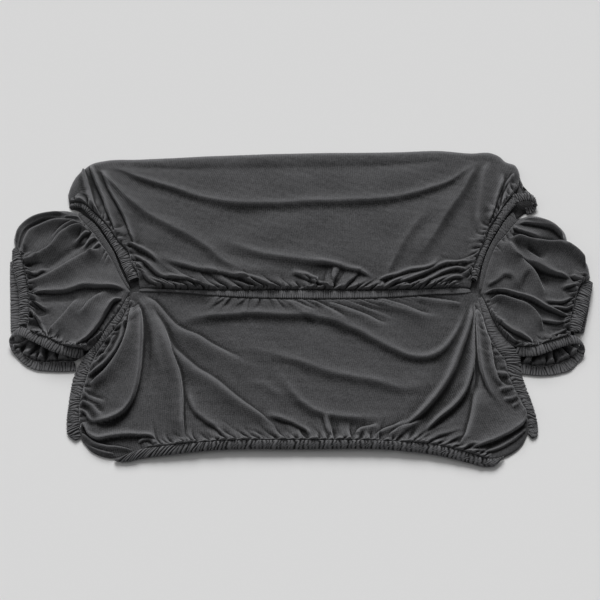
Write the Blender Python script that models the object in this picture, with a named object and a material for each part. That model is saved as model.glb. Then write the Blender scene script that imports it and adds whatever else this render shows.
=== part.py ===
"""Stretch slipcover for a small sofa, laid out empty and face up on a flat surface.

The cover is sewn from a two-layer back pouch, one seat and skirt panel, and two
two-layer arm pouches.  Shirred elastic bands edge every opening.  Each panel is a
surface stretched between its seams, raised into folds and given the cloth's thickness.
Lengths in the tables are centimetres.  +X is to the right, +Y to the back, +Z up.  The
origin is on the surface, below the middle of the seam between back and seat.
"""
import bmesh
import bpy
import numpy as np

CM = 0.01

# Cloth and sewing, in centimetres
CLOTH = 0.2              # thickness of a panel
SEAM_GAP = 0.075         # clearance between a panel's edge and the band sewn to it
FLOOR_LAYER = 0.0        # underside of the layers that lie on the surface
RIM = 0.45               # height of an upper layer where it lands on the lower one
BAND = 0.6               # thickness of a shirred elastic band
TAPE = 0.35              # thickness of a plain hem tape
RIB_PITCH = 2.3          # one rib and one furrow of the shirring
RIB_DEPTH = 0.32         # share of the band's thickness that the furrows lose
PANEL_STEP = 1.4         # grid spacing on a panel before its faces are thinned out
SLEEVE_INSET = 0.1       # how far a lower layer stays inside the upper one's edge
UNDER_LIFT = np.array((0, 0, 0.08))   # lower bands' inner edges above the lower layer's
CROWN_PLACE = 0.45       # share of a band's width at which it is thickest
EDGE_BODY = 0.55         # thickness of a band's free edge as a share of that
SEAM_BAND_STEP = 7       # spacing of the sections along the band between back and seat
TAPE_STEP = 3            # the same along a plain tape
FADE_IN = 0.16           # share of a fold's length over which it rises from nothing
FADE_OUT = 0.22          # share over which it dies away again
CORNER_EASE = 2          # distance from the other seams over which gathers come to full height
DRIFT = ((0.3, 0.31, 0), (0.17, 0.83, 1))   # unevenness of the gathers: size, rate, phase
SWELL = (0.4, 0.47, 2)   # unevenness of their height: size, rate, phase

# Matt charcoal knit
PANEL_GREY = 0.066
BAND_GREY = 0.058
TAPE_GREY = 0.064
BLUE_CAST = 1.04         # blue as a share of red and green
ROUGHNESS = 0.92

# Where each band starts and ends, as shares of its seam's length
BAND_SPANS = {
    "back bottom": (0.03, 0.97), "seat top": (0.04, 0.95), "seat front": (0.125, 0.88),
    "back left": (0.07, 0.9), "back right": (0.07, 0.86),
    "seat left": (0.03, 0.97), "seat right": (0.03, 0.97),
    "left seat": (0.06, 0.92), "right seat": (0.06, 0.92),
    "left slit": (0.04, 0.94), "right slit": (0.04, 0.94),
    "left outer": (0.03, 0.93), "right outer": (0.03, 0.93),
    "left mouth": (0.03, 0.84), "right mouth": (0.16, 0.97),
}

# Outline of the rear panel: its two front corners, and the shares of the bands' free edges
REAR_FRONT = ((-48, -4, 0), (50, -4, 0))
REAR_SIDE_SPAN = (0.05, 0.95)

# Outline of an arm's lower layer: shares of the rim, of the slit's edge and of the seat side
LOWER_RIM_SPAN = {"left": (0.06, 0.9), "right": (0.94, 0.1)}
LOWER_SLIT_SPAN = (0.93, 0.04)
LOWER_SEAT_SPAN = (0.94, 0.05)

# Seams, as points (x, y, z) of a smooth curve through the upper face of the cloth
SEAMS = {
    "seat front": ((-59, -48.5, 0.4), (-56.5, -51, 0.4), (-53.5, -52.5, 0.4), (-49.5, -53, 0.5),
                   (-43.5, -51, 1.2), (-35.5, -50, 2), (-24.5, -49, 2.2), (0, -48.5, 2.2),
                   (27, -49, 2.2), (37.5, -50, 1.8), (46, -52, 1.2), (50.5, -53, 0.6),
                   (55.5, -51.5, 0.4), (59.5, -48.5, 0.4), (62, -46, 0.4)),
    "seat left": ((-59, -48.5, 0.4), (-60, -46, 0.6), (-60.5, -43, 1.2), (-61, -38.5, 1.5),
                  (-60.5, -33, 1.5), (-59.5, -27.5, 1.6), (-58, -22, 1.6), (-55, -16, 1.5),
                  (-51.5, -10, 1.4), (-49, -0.5, 1.2)),
    "seat right": ((62, -46, 0.4), (62.5, -41.5, 0.8), (61.5, -37, 1.4), (60, -33, 1.5),
                   (58.5, -28, 1.6), (58, -23.5, 1.6), (56, -20, 1.5), (54, -15, 1.4),
                   (53, -9.5, 1.3), (52, -1, 1.2)),
    "seat top": ((-49, -0.5, 1.2), (-41.5, -0.5, 1.2), (-34, -1, 1.2), (-25, -2, 1),
                 (0, -3, 1), (27.5, -2.5, 1), (39.5, -1.5, 1.2), (52, -1, 1.2)),
    "back bottom": ((-47, 1, 1.2), (-41.5, 0.5, 1.2), (-29.5, 0, 1.2), (0, 0, 1.2),
                    (29, 0, 1.2), (50, 1, 1.2)),
    "back left": ((-47, 1, 1.2), (-48, 5.5, 1.5), (-50, 9, 1.6), (-51.5, 13.5, 1.6),
                  (-54.5, 17, 1.6), (-58.5, 23, 1.6), (-63, 28, 1.8), (-67, 31.5, 1.8),
                  (-70.5, 32.5, 1.2), (-72, 35.5, 0.6)),
    "back top": ((-72, 35.5, 0.6), (-71.5, 39, RIM), (-70, 43, RIM), (-68, 45.5, RIM),
                 (-66, 47.5, RIM), (-61.5, 49, RIM), (-51, 49.5, RIM), (-25.5, 51, RIM),
                 (0, 52, RIM), (31.5, 52.5, RIM), (44.5, 53, RIM), (54, 52, RIM),
                 (61, 52, RIM), (63.5, 50.5, RIM), (65, 48.5, RIM), (68, 47, RIM),
                 (69, 44, RIM), (68.5, 40.5, 0.6)),
    "back right": ((50, 1, 1.2), (51, 6.5, 1.6), (52.5, 10.5, 1.6), (55, 16, 1.6),
                   (57.5, 22, 1.8), (60, 26, 2), (62.5, 30, 2.2), (65, 33.5, 2.2),
                   (67, 37, 1.5), (68.5, 40.5, 0.6)),
    "left mouth": ((-78, -14, 3.5), (-75.5, -16, 3.8), (-72, -17.5, 4), (-69, -19, 4),
                   (-66.5, -20, 3.6), (-63, -20.5, 3), (-60, -20.5, 2)),
    "left outer": ((-78, -14, 3.5), (-78, -9.5, 3.3), (-78.5, -5.5, 3), (-79.5, 0, 2.8),
                   (-81.5, 6.5, 2.2), (-83.5, 12.5, 1.6), (-85.5, 16, 0.9), (-86.5, 18, RIM)),
    "left top": ((-86.5, 18, RIM), (-86.5, 20.5, RIM), (-85, 23.5, RIM), (-82.5, 26.5, RIM),
                 (-80, 28, RIM), (-76.5, 29, RIM), (-72, 29.3, RIM), (-68.5, 28.5, 0.7)),
    "left seat": ((-60, -20.5, 2), (-58, -18, 2), (-55.5, -12.5, 1.6), (-52.5, -7, 1.5),
                  (-50, -0.5, 1.2)),
    "left slit": ((-50, -0.5, 1.2), (-53, 4.5, 1.4), (-56, 10.5, 1.6), (-59.5, 16, 1.6),
                  (-63, 21, 1.6), (-66, 24.5, 1.4), (-68.5, 28.5, 0.7)),
    "left under front": ((-78.5, -21.5, 0.2), (-75, -23, 0.2), (-70, -23.2, 0.2),
                         (-64, -23, 0.2)),
    "left under outer": ((-80.5, -12, 0.2), (-82, -2.5, 0.2), (-83.5, 6, 0.2), (-84.5, 11, 0.2)),
    "right mouth": ((60.5, -19, 2), (63, -20, 3), (66.5, -20, 3.6), (70, -19, 4),
                    (73, -18, 4), (75.5, -17, 3.8), (77, -16, 3.5)),
    "right outer": ((77, -16, 3.5), (77.5, -12, 3.3), (79, -7.5, 3), (80.5, -3, 2.6),
                    (82.5, 1.5, 1.8), (86, 5, 0.6)),
    "right top": ((67.5, 26.5, 0.8), (71, 27.5, RIM), (75, 26.5, RIM), (78.5, 24, RIM),
                  (80.5, 21, RIM), (81, 17.5, RIM), (82, 15, RIM), (84, 13, RIM),
                  (85.7, 10, RIM), (86, 5, 0.6)),
    "right seat": ((60.5, -19, 2), (58, -15.5, 1.8), (56, -11, 1.6), (54.5, -6, 1.5),
                   (53, -1, 1.2)),
    "right slit": ((53, -1, 1.2), (54.5, 4.5, 1.4), (56.5, 10.5, 1.6), (59.5, 16.5, 1.8),
                   (62.5, 20, 2), (65, 23.5, 1.6), (67.5, 26.5, 0.8)),
    "right under front": ((62.6, -23.7, 0.2), (66, -24.5, 0.2), (71, -24.4, 0.2),
                          (76.5, -22.5, 0.2)),
    "right under outer": ((79, -14, 0.2), (80.5, -8, 0.2), (82, -2.5, 0.2), (82.8, 0, 0.2)),
}

# Free edges of the bands, as points (x, y, z) through the middle of the band
EDGES = {
    "seat front": ((-49.4, -53.7, 0.4), (-47, -54.1, 0.4), (-43.5, -53.6, 0.4),
                   (-35.5, -52.6, 0.4), (-24.5, -51.4, 0.4), (0, -51, 0.4), (27, -51.4, 0.4),
                   (37.5, -52.8, 0.4), (45.5, -55, 0.4), (50.5, -56, 0.4), (52.4, -55.7, 0.4)),
    "seat left": ((-61.2, -22.4, 1.5), (-62.9, -25.4, 0.8), (-63.8, -28.5, 0.5),
                  (-64.2, -33, 0.4), (-64.3, -38, 0.4), (-64.2, -43, 0.4), (-63.4, -46.4, 0.4),
                  (-61.4, -48, 0.35)),
    "seat right": ((61, -21, 1.4), (61.4, -24, 0.8), (62.3, -27.5, 0.5), (63.5, -32, 0.4),
                   (64.4, -36, 0.4), (65.4, -40.5, 0.4), (65.4, -44, 0.4), (63.4, -46.4, 0.35)),
    "back left": ((-50.5, 3, 1.5), (-52.5, 7.5, 1.6), (-54.5, 12, 1.6), (-57.5, 17.5, 1.6),
                  (-61, 23, 1.6), (-64.5, 27, 1.8), (-67.5, 29.9, 1.8), (-71, 30.3, 1.2)),
    "back right": ((52.2, 3, 1.5), (53.2, 6.5, 1.6), (54.4, 10, 1.6), (56.6, 15.5, 1.6),
                   (59.7, 21, 1.8), (61.8, 24.5, 2), (64.1, 27.8, 2.2), (66.6, 31, 2.4)),
    "left slit": ((-50, 1, 1.3), (-51.4, 3.5, 1.4), (-53.6, 8, 1.6), (-55.6, 13, 1.6),
                  (-58.9, 18.6, 1.6), (-62.4, 23.8, 1.4), (-66.5, 27.8, 0.9)),
    "right slit": ((52.7, 0.6, 1.3), (54, 6.5, 1.4), (55.8, 11.5, 1.6), (58.3, 16.5, 1.8),
                   (61.3, 21.4, 2), (64.2, 25.3, 1.7), (66.4, 28.1, 1.2)),
    "left outer": ((-80.6, -13.4, 3.3), (-81.3, -6, 3), (-82.5, -0.5, 2.6), (-84.3, 5, 2.1),
                   (-86, 11, 1.4), (-86.5, 14.4, 0.9)),
    "right outer": ((79.8, -15, 3.3), (81, -11, 3.1), (82.4, -7, 2.8), (84, -3, 2.4),
                    (85.7, 0.6, 1.7), (86.5, 3.2, 1)),
    "left under outer": ((-83.5, -12, 0.4), (-85, -2.5, 0.4), (-86.2, 6, 0.4),
                         (-86.8, 11, 0.4)),
    "right under outer": ((81.8, -14, 0.4), (83.2, -8, 0.4), (84.6, -2.5, 0.4),
                          (85.3, 0, 0.4)),
    "left mouth": ((-63.6, -23.1, 2.2), (-65.5, -22.9, 2.7), (-68, -22.3, 3.2), (-70.5, -21.5, 3.5),
                   (-73.5, -19.8, 3.6), (-76.5, -18.2, 3.5), (-79, -16.8, 3.3),
                   (-81.4, -16.4, 2.7), (-83, -17.2, 1.7), (-83, -19.6, 0.9), (-81.4, -22.4, 0.4),
                   (-78.8, -24.6, 0.4), (-75.5, -26, 0.4), (-70.5, -26.5, 0.4),
                   (-66.5, -26.6, 0.4), (-64.2, -26.4, 0.4)),
    "right mouth": ((62.7, -22.4, 2.1), (64.3, -22.9, 2.7), (66.5, -23, 3.2), (69.5, -22.2, 3.6),
                    (72.5, -20.9, 3.6), (75, -20, 3.5), (77.2, -19.2, 3.2), (79.2, -19.2, 2.6),
                    (80.8, -20, 1.7), (81, -21.6, 0.8), (79.6, -23.8, 0.4), (76.5, -26, 0.4),
                    (72.5, -27.4, 0.4), (68.5, -27.9, 0.4), (65.5, -27.8, 0.4), (63.3, -27.2, 0.4)),
}

# Where the mouth band turns over from the upper to the lower layer: its inner edge
TURNS = {
    "left mouth": ((-80, -13.2, 3.1), (-81.8, -14.6, 2), (-81.6, -17.6, 1.1)),
    "right mouth": ((78.9, -16.2, 2.8), (79.9, -17.8, 1.8), (79, -20.2, 0.9)),
}

# The loose end of the right back band: a loop, as rows of inner and outer edge
LOOP = (
    # x in, y in, z in, x out, y out, z out
    (68.3, 34.6, 2.9, 69, 31.6, 2.8),
    (70.4, 34.7, 2.7, 71, 31.7, 2.4),
    (72, 34, 2, 72.3, 31, 1.7),
    (72.4, 32.6, 1.2, 72.4, 29.8, 1),
    (71.4, 31.4, 0.6, 71.6, 28.8, 0.6),
    (69.4, 30.8, 0.4, 69.8, 28.2, 0.4),
)

# Folds: (points of the crest or trough, height, half width on the left of that line,
#         half width on its right).  A negative height is a trough.
SEAT_FOLDS = (
    (((-47.5, -4), (-46, -12.5), (-45, -20.5), (-45.5, -28.5), (-47, -36), (-50, -40.5),
      (-54.5, -42.5)), 2.6, 1.2, 3.4),
    (((-49, -5.5), (-49.5, -11), (-50.5, -16.5), (-52, -23), (-55, -28), (-58.5, -31.5)),
     1.6, 2.2, 0.9),
    (((-41.5, -6.5), (-37, -16.5), (-34, -28), (-32.5, -37), (-31.5, -46)), 1.9, 1.0, 3.4),
    (((-32, -27), (-30.5, -32), (-30, -36.5), (-27.5, -40.5), (-24, -44.5)), 1.1, 1.8, 1.0),
    (((-44.5, -4), (-39, -15), (-32.5, -22.5), (-27.5, -28.5), (-19.5, -35.5), (-10.5, -43)),
     1.0, 1.6, 2.2),
    (((-45, -3), (-40.5, -7.5), (-35.5, -13.5), (-28.5, -17.5), (-20, -22.5), (-10, -27.5)),
     0.9, 1.6, 1.4),
    (((-33.5, -11.5), (-27.5, -9), (-14.5, -8), (-3, -8.5), (10, -10)), 1.1, 2.0, 1.2),
    (((4.5, -6), (13, -11.5), (21.5, -16.5), (28, -20.5), (35, -22.5), (40, -21), (44, -16),
      (48, -8.5), (50.5, -4)), 1.9, 2.4, 1.2),
    (((-17.5, -16.5), (-9, -19.5), (0, -23), (9.5, -26.5), (19.5, -29.5), (30.5, -31),
      (37, -30), (41, -27)), 1.0, 2.0, 1.3),
    (((-6.5, -24), (-3, -31), (0.5, -36), (5.5, -39.5), (12, -41), (20.5, -41), (27.5, -39.5)),
     1.0, 2.0, 1.3),
    (((50, -4), (48, -12.5), (45, -20.5), (41.5, -28.5), (36.5, -36), (31.5, -41.5),
      (25.5, -45.5)), 2.0, 1.2, 1.7),
    (((50.5, -5), (48.5, -19), (46.5, -28), (43, -35), (38.5, -40.5), (33, -46)), 1.7, 1.0, 1.1),
    (((52, -5), (51.5, -17.5), (52, -25.5), (53.5, -32), (55, -36.5), (57.5, -39)),
     2.0, 1.7, 1.0),
    (((51, -32), (48.5, -40), (47.5, -45), (45, -49)), 1.1, 2.6, 1.3),
    (((61, -36.5), (61, -40.5), (59, -43.5), (55, -46.5), (50, -48.5), (45, -50)), 1.7, 0.9, 2.6),
    (((-59.5, -41), (-57.5, -44), (-55, -47), (-51.5, -47.8), (-47, -47.5), (-41.5, -47.5)),
     1.1, 0.9, 1.4),
)
BACK_FOLDS = (
    (((-62, 45.5), (-48.5, 40), (-35.5, 36), (-21.5, 32.5), (0, 32), (21.5, 32.5), (34, 34.5),
      (42, 37.5), (48, 42.5), (58.5, 49)), 1.3, 2.8, 1.2),
    (((-60, 43), (-51, 36), (-41.5, 27.5), (-32, 18.5), (-24, 12), (-15, 7), (-3, 6)),
     0.9, 2.6, 1.1),
    (((-58.5, 36), (-54.5, 29), (-50, 21.5), (-45, 15.5), (-39, 11), (-28.5, 7), (-19.5, 4.5)),
     0.9, 1.5, 1.4),
    (((-29, 21.5), (-20.5, 16.5), (-11.5, 13), (-2.5, 11), (10, 9), (18, 7)), 0.9, 2.4, 1.1),
    (((55, 45), (51, 37.5), (46.5, 29.5), (42.5, 22.5), (38.5, 16), (33.5, 9)), 1.4, 1.1, 2.6),
    (((39, 30.5), (34, 22.5), (29.5, 14.5), (26, 6.5)), 0.6, 1.0, 2.2),
    (((59, 47), (58, 38), (56.5, 30.5), (54.5, 21)), 1.1, 1.1, 1.2),
    (((-61.5, 43), (-60, 34), (-58, 26.5), (-55.5, 20)), 1.1, 1.2, 1.0),
    (((20, 3.5), (29, 4.5), (35.5, 8), (43, 14)), 1.0, 1.0, 0.9),
    (((-49.5, 11), (-43, 8), (-35.5, 4.5), (-28, 2.5)), 1.0, 1.0, 0.9),
)
LEFT_ARM_FOLDS = (
    (((-82.5, 13), (-81.5, 18), (-80.5, 21), (-76, 23), (-72, 24.5), (-67, 23)), 1.0, 0.9, 1.7),
    (((-82, 9.5), (-76.5, 13.5), (-73.5, 16.5), (-71, 19.5), (-64.5, 21)), 1.0, 1.4, 1.2),
    (((-79.5, 1), (-75, 3.5), (-71, 6), (-67, 9.5), (-60.5, 13.5)), 1.0, 1.1, 2.6),
    (((-78.5, -3), (-74.5, -1), (-70, -1), (-64.5, 0.5), (-59, 1), (-52, 0)), 1.1, 1.6, 1.0),
    (((-71.5, -15), (-69, -12.5), (-67, -9), (-65.5, -5), (-64, -2), (-58.5, -1)),
     0.8, 1.1, 2.0),
    (((-60.5, -18.5), (-58.5, -15), (-57, -11), (-56, -6.5), (-54.5, -3)), 1.2, 1.6, 0.9),
)
RIGHT_ARM_FOLDS = (
    (((65.5, 23), (69.5, 22.5), (74, 22.5), (77.5, 21.5)), 0.8, 1.0, 1.0),
    (((62, 18), (65.5, 17), (69.5, 16), (73.5, 16), (78, 15), (81.5, 13), (84, 9.5)),
     1.5, 0.8, 2.2),
    (((62.5, 17), (64.5, 13.5), (68.5, 11), (73, 8.5), (77, 6), (81.5, 3.5)), 1.0, 1.1, 1.2),
    (((61, 16.5), (62.5, 13), (66, 9), (69, 4.5), (70.5, -0.5), (71, -4)), 1.4, 0.9, 2.4),
    (((53.5, -1), (57.5, -1), (62, -2), (66, -3.5), (70.5, -5.5), (74, -7.5), (77.5, -9.5)),
     1.3, 1.0, 1.0),
    (((54.5, -4), (58.5, -4), (62.5, -5), (67, -7), (70.5, -9.5), (76, -12)), 1.0, 1.0, 1.0),
    (((57, -8.5), (59, -11.5), (61.5, -14.5), (63.5, -17)), 0.9, 0.9, 0.9),
)

# Panels: the seams on their four sides, joined where a side has two, and how they lie.
# "rest" is the cloth's height between its folds; "reach" how far inward of each side
# (bottom, top, left, right) it takes to come to that height; "gathers" the sides whose
# stitching draws the cloth into small folds (side, pitch, height, reach).
PANELS = {
    "seat_panel": {
        "bottom": ("seat front",), "top": ("seat top",),
        "left": ("seat left",), "right": ("seat right",),
        "folds": SEAT_FOLDS, "faces": 1700, "lowest": 0.3, "rest": 0.7, "reach": (4, 3, 3, 3),
        "gathers": (("bottom", 2.6, 0.5, 3.0), ("left", 2.8, 0.5, 2.6), ("right", 2.8, 0.5, 2.6)),
    },
    "back_front_panel": {
        "bottom": ("back bottom",), "top": ("back top",),
        "left": ("back left",), "right": ("back right",),
        "folds": BACK_FOLDS, "faces": 1450, "lowest": RIM, "rest": 2.2, "reach": (3, 2.2, 3, 3),
        "gathers": (("bottom", 3.0, 0.7, 4.0), ("left", 2.8, 0.5, 2.6), ("right", 2.8, 0.5, 2.6)),
    },
    "arm_left_upper_panel": {
        "bottom": ("left mouth",), "top": ("left top",),
        "left": ("left outer",), "right": ("left seat", "left slit"),
        "folds": LEFT_ARM_FOLDS, "faces": 620, "lowest": RIM, "rest": 2.6, "reach": (3, 2.0, 3, 3),
        "gathers": (("bottom", 2.4, 0.4, 2.2), ("left", 2.6, 0.4, 2.4)),
    },
    "arm_right_upper_panel": {
        "bottom": ("right mouth",), "top": ("right top",),
        "left": ("right seat", "right slit"), "right": ("right outer",),
        "folds": RIGHT_ARM_FOLDS, "faces": 620, "lowest": RIM, "rest": 2.6, "reach": (3, 2.0, 3, 3),
        "gathers": (("bottom", 2.4, 0.4, 2.2), ("right", 2.6, 0.4, 2.4)),
    },
}


def smooth_line(points, count=240):
    """Points evenly spaced along a smooth curve through the given ones."""
    knots = np.array(points, float)
    chord = np.append(0, np.cumsum(np.linalg.norm(np.diff(knots, axis=0), axis=1)))
    slope = np.gradient(knots, chord, axis=0)
    place = np.linspace(0, chord[-1], count * 2)
    left = np.clip(np.searchsorted(chord, place, side="right") - 1, 0, len(knots) - 2)
    width = (chord[left + 1] - chord[left])[:, None]
    s = (place - chord[left])[:, None] / width
    line = ((2 * s**3 - 3 * s**2 + 1) * knots[left] + (s**3 - 2 * s**2 + s) * width * slope[left]
            + (3 * s**2 - 2 * s**3) * knots[left + 1] + (s**3 - s**2) * width * slope[left + 1])
    return spaced(line, np.linspace(0, 1, count))


def spaced(line, fractions):
    """The line read at fractions of its length."""
    run = np.append(0, np.cumsum(np.linalg.norm(np.diff(line, axis=0), axis=1)))
    return np.stack([np.interp(np.asarray(fractions) * run[-1], run, line[:, k])
                     for k in range(3)], axis=1)


def length(line):
    return np.linalg.norm(np.diff(line, axis=0), axis=1).sum()


def seam(*names):
    """One seam, or several end to end."""
    parts = [smooth_line(SEAMS[name]) for name in names]
    return np.concatenate([parts[0]] + [part[1:] for part in parts[1:]])


def beside(line, distance):
    """The line moved sideways in plan, to its left when the distance is positive."""
    run = np.gradient(line[:, :2], axis=0)
    run /= np.linalg.norm(run, axis=1)[:, None]
    moved = line.copy()
    moved[:, 0] -= run[:, 1] * distance
    moved[:, 1] += run[:, 0] * distance
    return moved


def nearest(plan, line):
    """For points in plan: distance to a line, place along it from 0 to 1, and side."""
    start = line[:-1, :2]
    run = line[1:, :2] - start
    size = (run**2).sum(1)
    away = plan[:, None, :] - start[None]
    along = np.clip((away * run).sum(2) / size, 0, 1)
    offset = away - along[..., None] * run
    distance = np.linalg.norm(offset, axis=2)
    pick = distance.argmin(1)
    rows = np.arange(len(plan))
    place = (pick + along[rows, pick]) / len(run)
    across = run[pick, 0] * away[rows, pick, 1] - run[pick, 1] * away[rows, pick, 0]
    return distance[rows, pick], place, np.sign(across)


def step_up(share):
    """Smooth rise from 0 to 1."""
    share = np.clip(share, 0, 1)
    return share * share * (3 - 2 * share)


def dome(share):
    """Quarter of an ellipse, from a steep edge to a level top."""
    return np.sqrt(1 - (1 - np.clip(share, 0, 1))**2)


def ladder(size):
    """Grid fractions across a panel."""
    return np.linspace(0, 1, max(int(round(size / PANEL_STEP)), 6) + 1)


def stretch_between(sides, us, vs):
    """Surface spanned by four side curves (a Coons patch)."""
    bottom, top = (spaced(sides[name], us)[:, None, :] for name in ("bottom", "top"))
    left, right = (spaced(sides[name], vs)[None] for name in ("left", "right"))
    u = us[:, None, None]
    v = vs[None, :, None]
    corners = ((1 - u) * (1 - v) * bottom[0, 0] + u * (1 - v) * bottom[-1, 0]
               + (1 - u) * v * top[0, 0] + u * v * top[-1, 0])
    return (1 - v) * bottom + v * top + (1 - u) * left + u * right - corners


def fold_height(plan, folds):
    """Sum of the folds: a bell across each line, fading at its two ends."""
    height = np.zeros(len(plan))
    for points, top, on_left, on_right in folds:
        line = smooth_line([(x, y, 0) for x, y in points], 40)
        distance, place, side = nearest(plan, line)
        width = np.where(side > 0, on_left, on_right)
        ends = step_up(place / FADE_IN) * step_up((1 - place) / FADE_OUT)
        height += top * ends * np.exp(-(distance / width)**2)
    return height


def gather_height(run, distance, pitch, top, reach):
    """Small uneven folds that start at a seam and die away from it."""
    phase = run / pitch
    for size, rate, start in DRIFT:
        phase = phase + size * np.sin(run * rate + start)
    size, rate, start = SWELL
    height = top * (1 + size * np.sin(run * rate + start))
    fade = (distance / reach) * np.exp(1 - distance / reach)
    return height * 0.5 * (1 + np.cos(2 * np.pi * phase)) * fade


def panel_surface(plan):
    """Grid of points on the upper face of a panel."""
    sides = {name: seam(*plan[name]) for name in ("bottom", "top", "left", "right")}
    across = ladder(max(length(sides["bottom"]), length(sides["top"])))
    up = ladder(max(length(sides["left"]), length(sides["right"])))
    grid = stretch_between(sides, across, up)
    points = grid.reshape(-1, 3)
    u, v = (axis.ravel() for axis in np.meshgrid(across, up, indexing="ij"))
    away = {name: nearest(points[:, :2], line)[0] for name, line in sides.items()}
    rise = np.ones(len(points))
    window = np.ones(len(points))
    for name, reach in zip(("bottom", "top", "left", "right"), plan["reach"]):
        rise *= dome(away[name] / reach)
        window *= step_up(away[name] / reach)
    height = points[:, 2] * (1 - rise) + plan["rest"] * rise
    height += window * fold_height(points[:, :2], plan["folds"])
    for name, pitch, top, reach in plan["gathers"]:
        run = (u if name in ("bottom", "top") else v) * length(sides[name])
        others = [step_up(away[other] / CORNER_EASE) for other in away if other != name]
        height += np.prod(others, axis=0) * gather_height(run, away[name], pitch, top, reach)
    edge = (u == 0) | (u == 1) | (v == 0) | (v == 1)
    points[:, 2] = np.where(edge, points[:, 2], np.maximum(height, plan["lowest"]))
    return points.reshape(grid.shape), edge


def cloth_material(name, grey):
    """Matt stretch knit in one shade."""
    material = bpy.data.materials.new(name)
    material.use_nodes = True
    shader = material.node_tree.nodes["Principled BSDF"]
    shader.inputs["Base Color"].default_value = (grey, grey, grey * BLUE_CAST, 1)
    shader.inputs["Roughness"].default_value = ROUGHNESS
    shader.inputs["Metallic"].default_value = 0
    return material


def add_object(name, mesh, grey):
    """Give a mesh, in centimetres, a named object with its own material."""
    mesh.transform(((CM, 0, 0, 0), (0, CM, 0, 0), (0, 0, CM, 0), (0, 0, 0, 1)))
    mesh.materials.append(cloth_material(name + "_cloth", grey))
    piece = bpy.data.objects.new(name, mesh)
    bpy.context.scene.collection.objects.link(piece)
    return piece


def thinned(name, points, faces, edge, wanted):
    """The surface with about the wanted number of triangles, its border kept as it is."""
    mesh = bpy.data.meshes.new(name)
    mesh.from_pydata(points.tolist(), [], faces.tolist())
    draft = bpy.data.objects.new(name + "_draft", mesh)
    bpy.context.scene.collection.objects.link(draft)
    draft.vertex_groups.new(name="inside").add(np.flatnonzero(~edge).tolist(), 1, "REPLACE")
    thinner = draft.modifiers.new("Thin", "DECIMATE")
    thinner.ratio = wanted / (2 * len(faces))
    thinner.vertex_group = "inside"
    thinner.use_collapse_triangulate = True
    settled = draft.evaluated_get(bpy.context.evaluated_depsgraph_get())
    result = bpy.data.meshes.new_from_object(settled)
    bpy.data.objects.remove(draft)
    return result


def thicken(mesh):
    """Close the sheet: a lower face along the normals, straight down at the border."""
    work = bmesh.new()
    work.from_mesh(mesh)
    bmesh.ops.triangulate(work, faces=work.faces[:])
    work.normal_update()
    upper = work.faces[:]
    border = [edge for edge in work.edges if edge.is_boundary]
    drop = {}
    for vert in work.verts[:]:
        down = vert.normal * CLOTH
        if vert.is_boundary:
            down.xyz = (0, 0, CLOTH)
        drop[vert] = work.verts.new(vert.co - down)
    for face in upper:
        work.faces.new([drop[vert] for vert in reversed(face.verts)])
    for edge in border:
        first, second = edge.verts
        work.faces.new((first, second, drop[second], drop[first]))
    bmesh.ops.recalc_face_normals(work, faces=work.faces[:])
    bmesh.ops.triangulate(work, faces=work.faces[:])
    work.to_mesh(mesh)
    work.free()


def make_panel(name, plan):
    """One upper panel: its surface, thinned where it is flat and given the cloth's body."""
    grid, edge = panel_surface(plan)
    columns, rows = grid.shape[:2]
    number = np.arange(columns * rows).reshape(columns, rows)
    faces = np.stack([number[:-1, :-1], number[1:, :-1], number[1:, 1:], number[:-1, 1:]],
                     axis=2).reshape(-1, 4)
    mesh = thinned(name, grid.reshape(-1, 3), faces, edge, plan["faces"])
    thicken(mesh)
    add_object(name, mesh, PANEL_GREY)


def make_flat_panel(name, outline):
    """A panel that lies flat on the surface, from its outline in plan."""
    mesh = bpy.data.meshes.new(name)
    work = bmesh.new()
    corners = [work.verts.new((x, y, FLOOR_LAYER)) for x, y in outline]
    face = work.faces.new(corners)
    raised = bmesh.ops.extrude_face_region(work, geom=[face])["geom"]
    for item in raised:
        if isinstance(item, bmesh.types.BMVert):
            item.co.z = FLOOR_LAYER + CLOTH
    bmesh.ops.recalc_face_normals(work, faces=work.faces[:])
    bmesh.ops.triangulate(work, faces=work.faces[:])
    work.to_mesh(mesh)
    work.free()
    add_object(name, mesh, PANEL_GREY)


def make_band(name, inner, outer, thickness=BAND, pitch=RIB_PITCH, depth=RIB_DEPTH):
    """A band between two edge lines; its faces rise and fall with the ribs."""
    middle = (inner + outer) / 2
    steps = max(int(round(length(middle) / pitch)), 2) * 2
    fractions = np.linspace(0, 1, steps + 1)
    inner = spaced(inner, fractions)
    outer = spaced(outer, fractions)
    across = outer - inner
    run = np.gradient((inner + outer) / 2, axis=0)
    up = np.cross(run, across)
    up /= np.linalg.norm(up, axis=1)[:, None]
    up *= np.sign(up[0, 2])
    swell = np.where(np.arange(steps + 1) % 2, 1, 1 - depth)
    half = (thickness / 2 * swell)[:, None] * up
    lip = up * (1, 1, 4)
    lip *= CLOTH / 2 / np.linalg.norm(lip, axis=1)[:, None]
    loop = (inner - lip, inner + lip, inner + across * CROWN_PLACE + half,
            outer + half * EDGE_BODY, outer - half * EDGE_BODY)
    section = len(loop)
    points = np.stack(loop, axis=1).reshape(-1, 3)
    work = bmesh.new()
    verts = [work.verts.new(point) for point in points]
    for step in range(steps):
        for side in range(section):
            a = step * section + side
            b = step * section + (side + 1) % section
            work.faces.new((verts[a], verts[b], verts[b + section], verts[a + section]))
    work.faces.new(verts[:section])
    work.faces.new(verts[-section:])
    bmesh.ops.recalc_face_normals(work, faces=work.faces[:])
    bmesh.ops.triangulate(work, faces=work.faces[:])
    mesh = bpy.data.meshes.new(name)
    work.to_mesh(mesh)
    work.free()
    add_object(name, mesh, TAPE_GREY if thickness == TAPE else BAND_GREY)


def joined(*lines):
    return spaced(np.concatenate(lines), np.linspace(0, 1, 240))


def edge(name):
    return smooth_line(EDGES[name])


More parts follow.
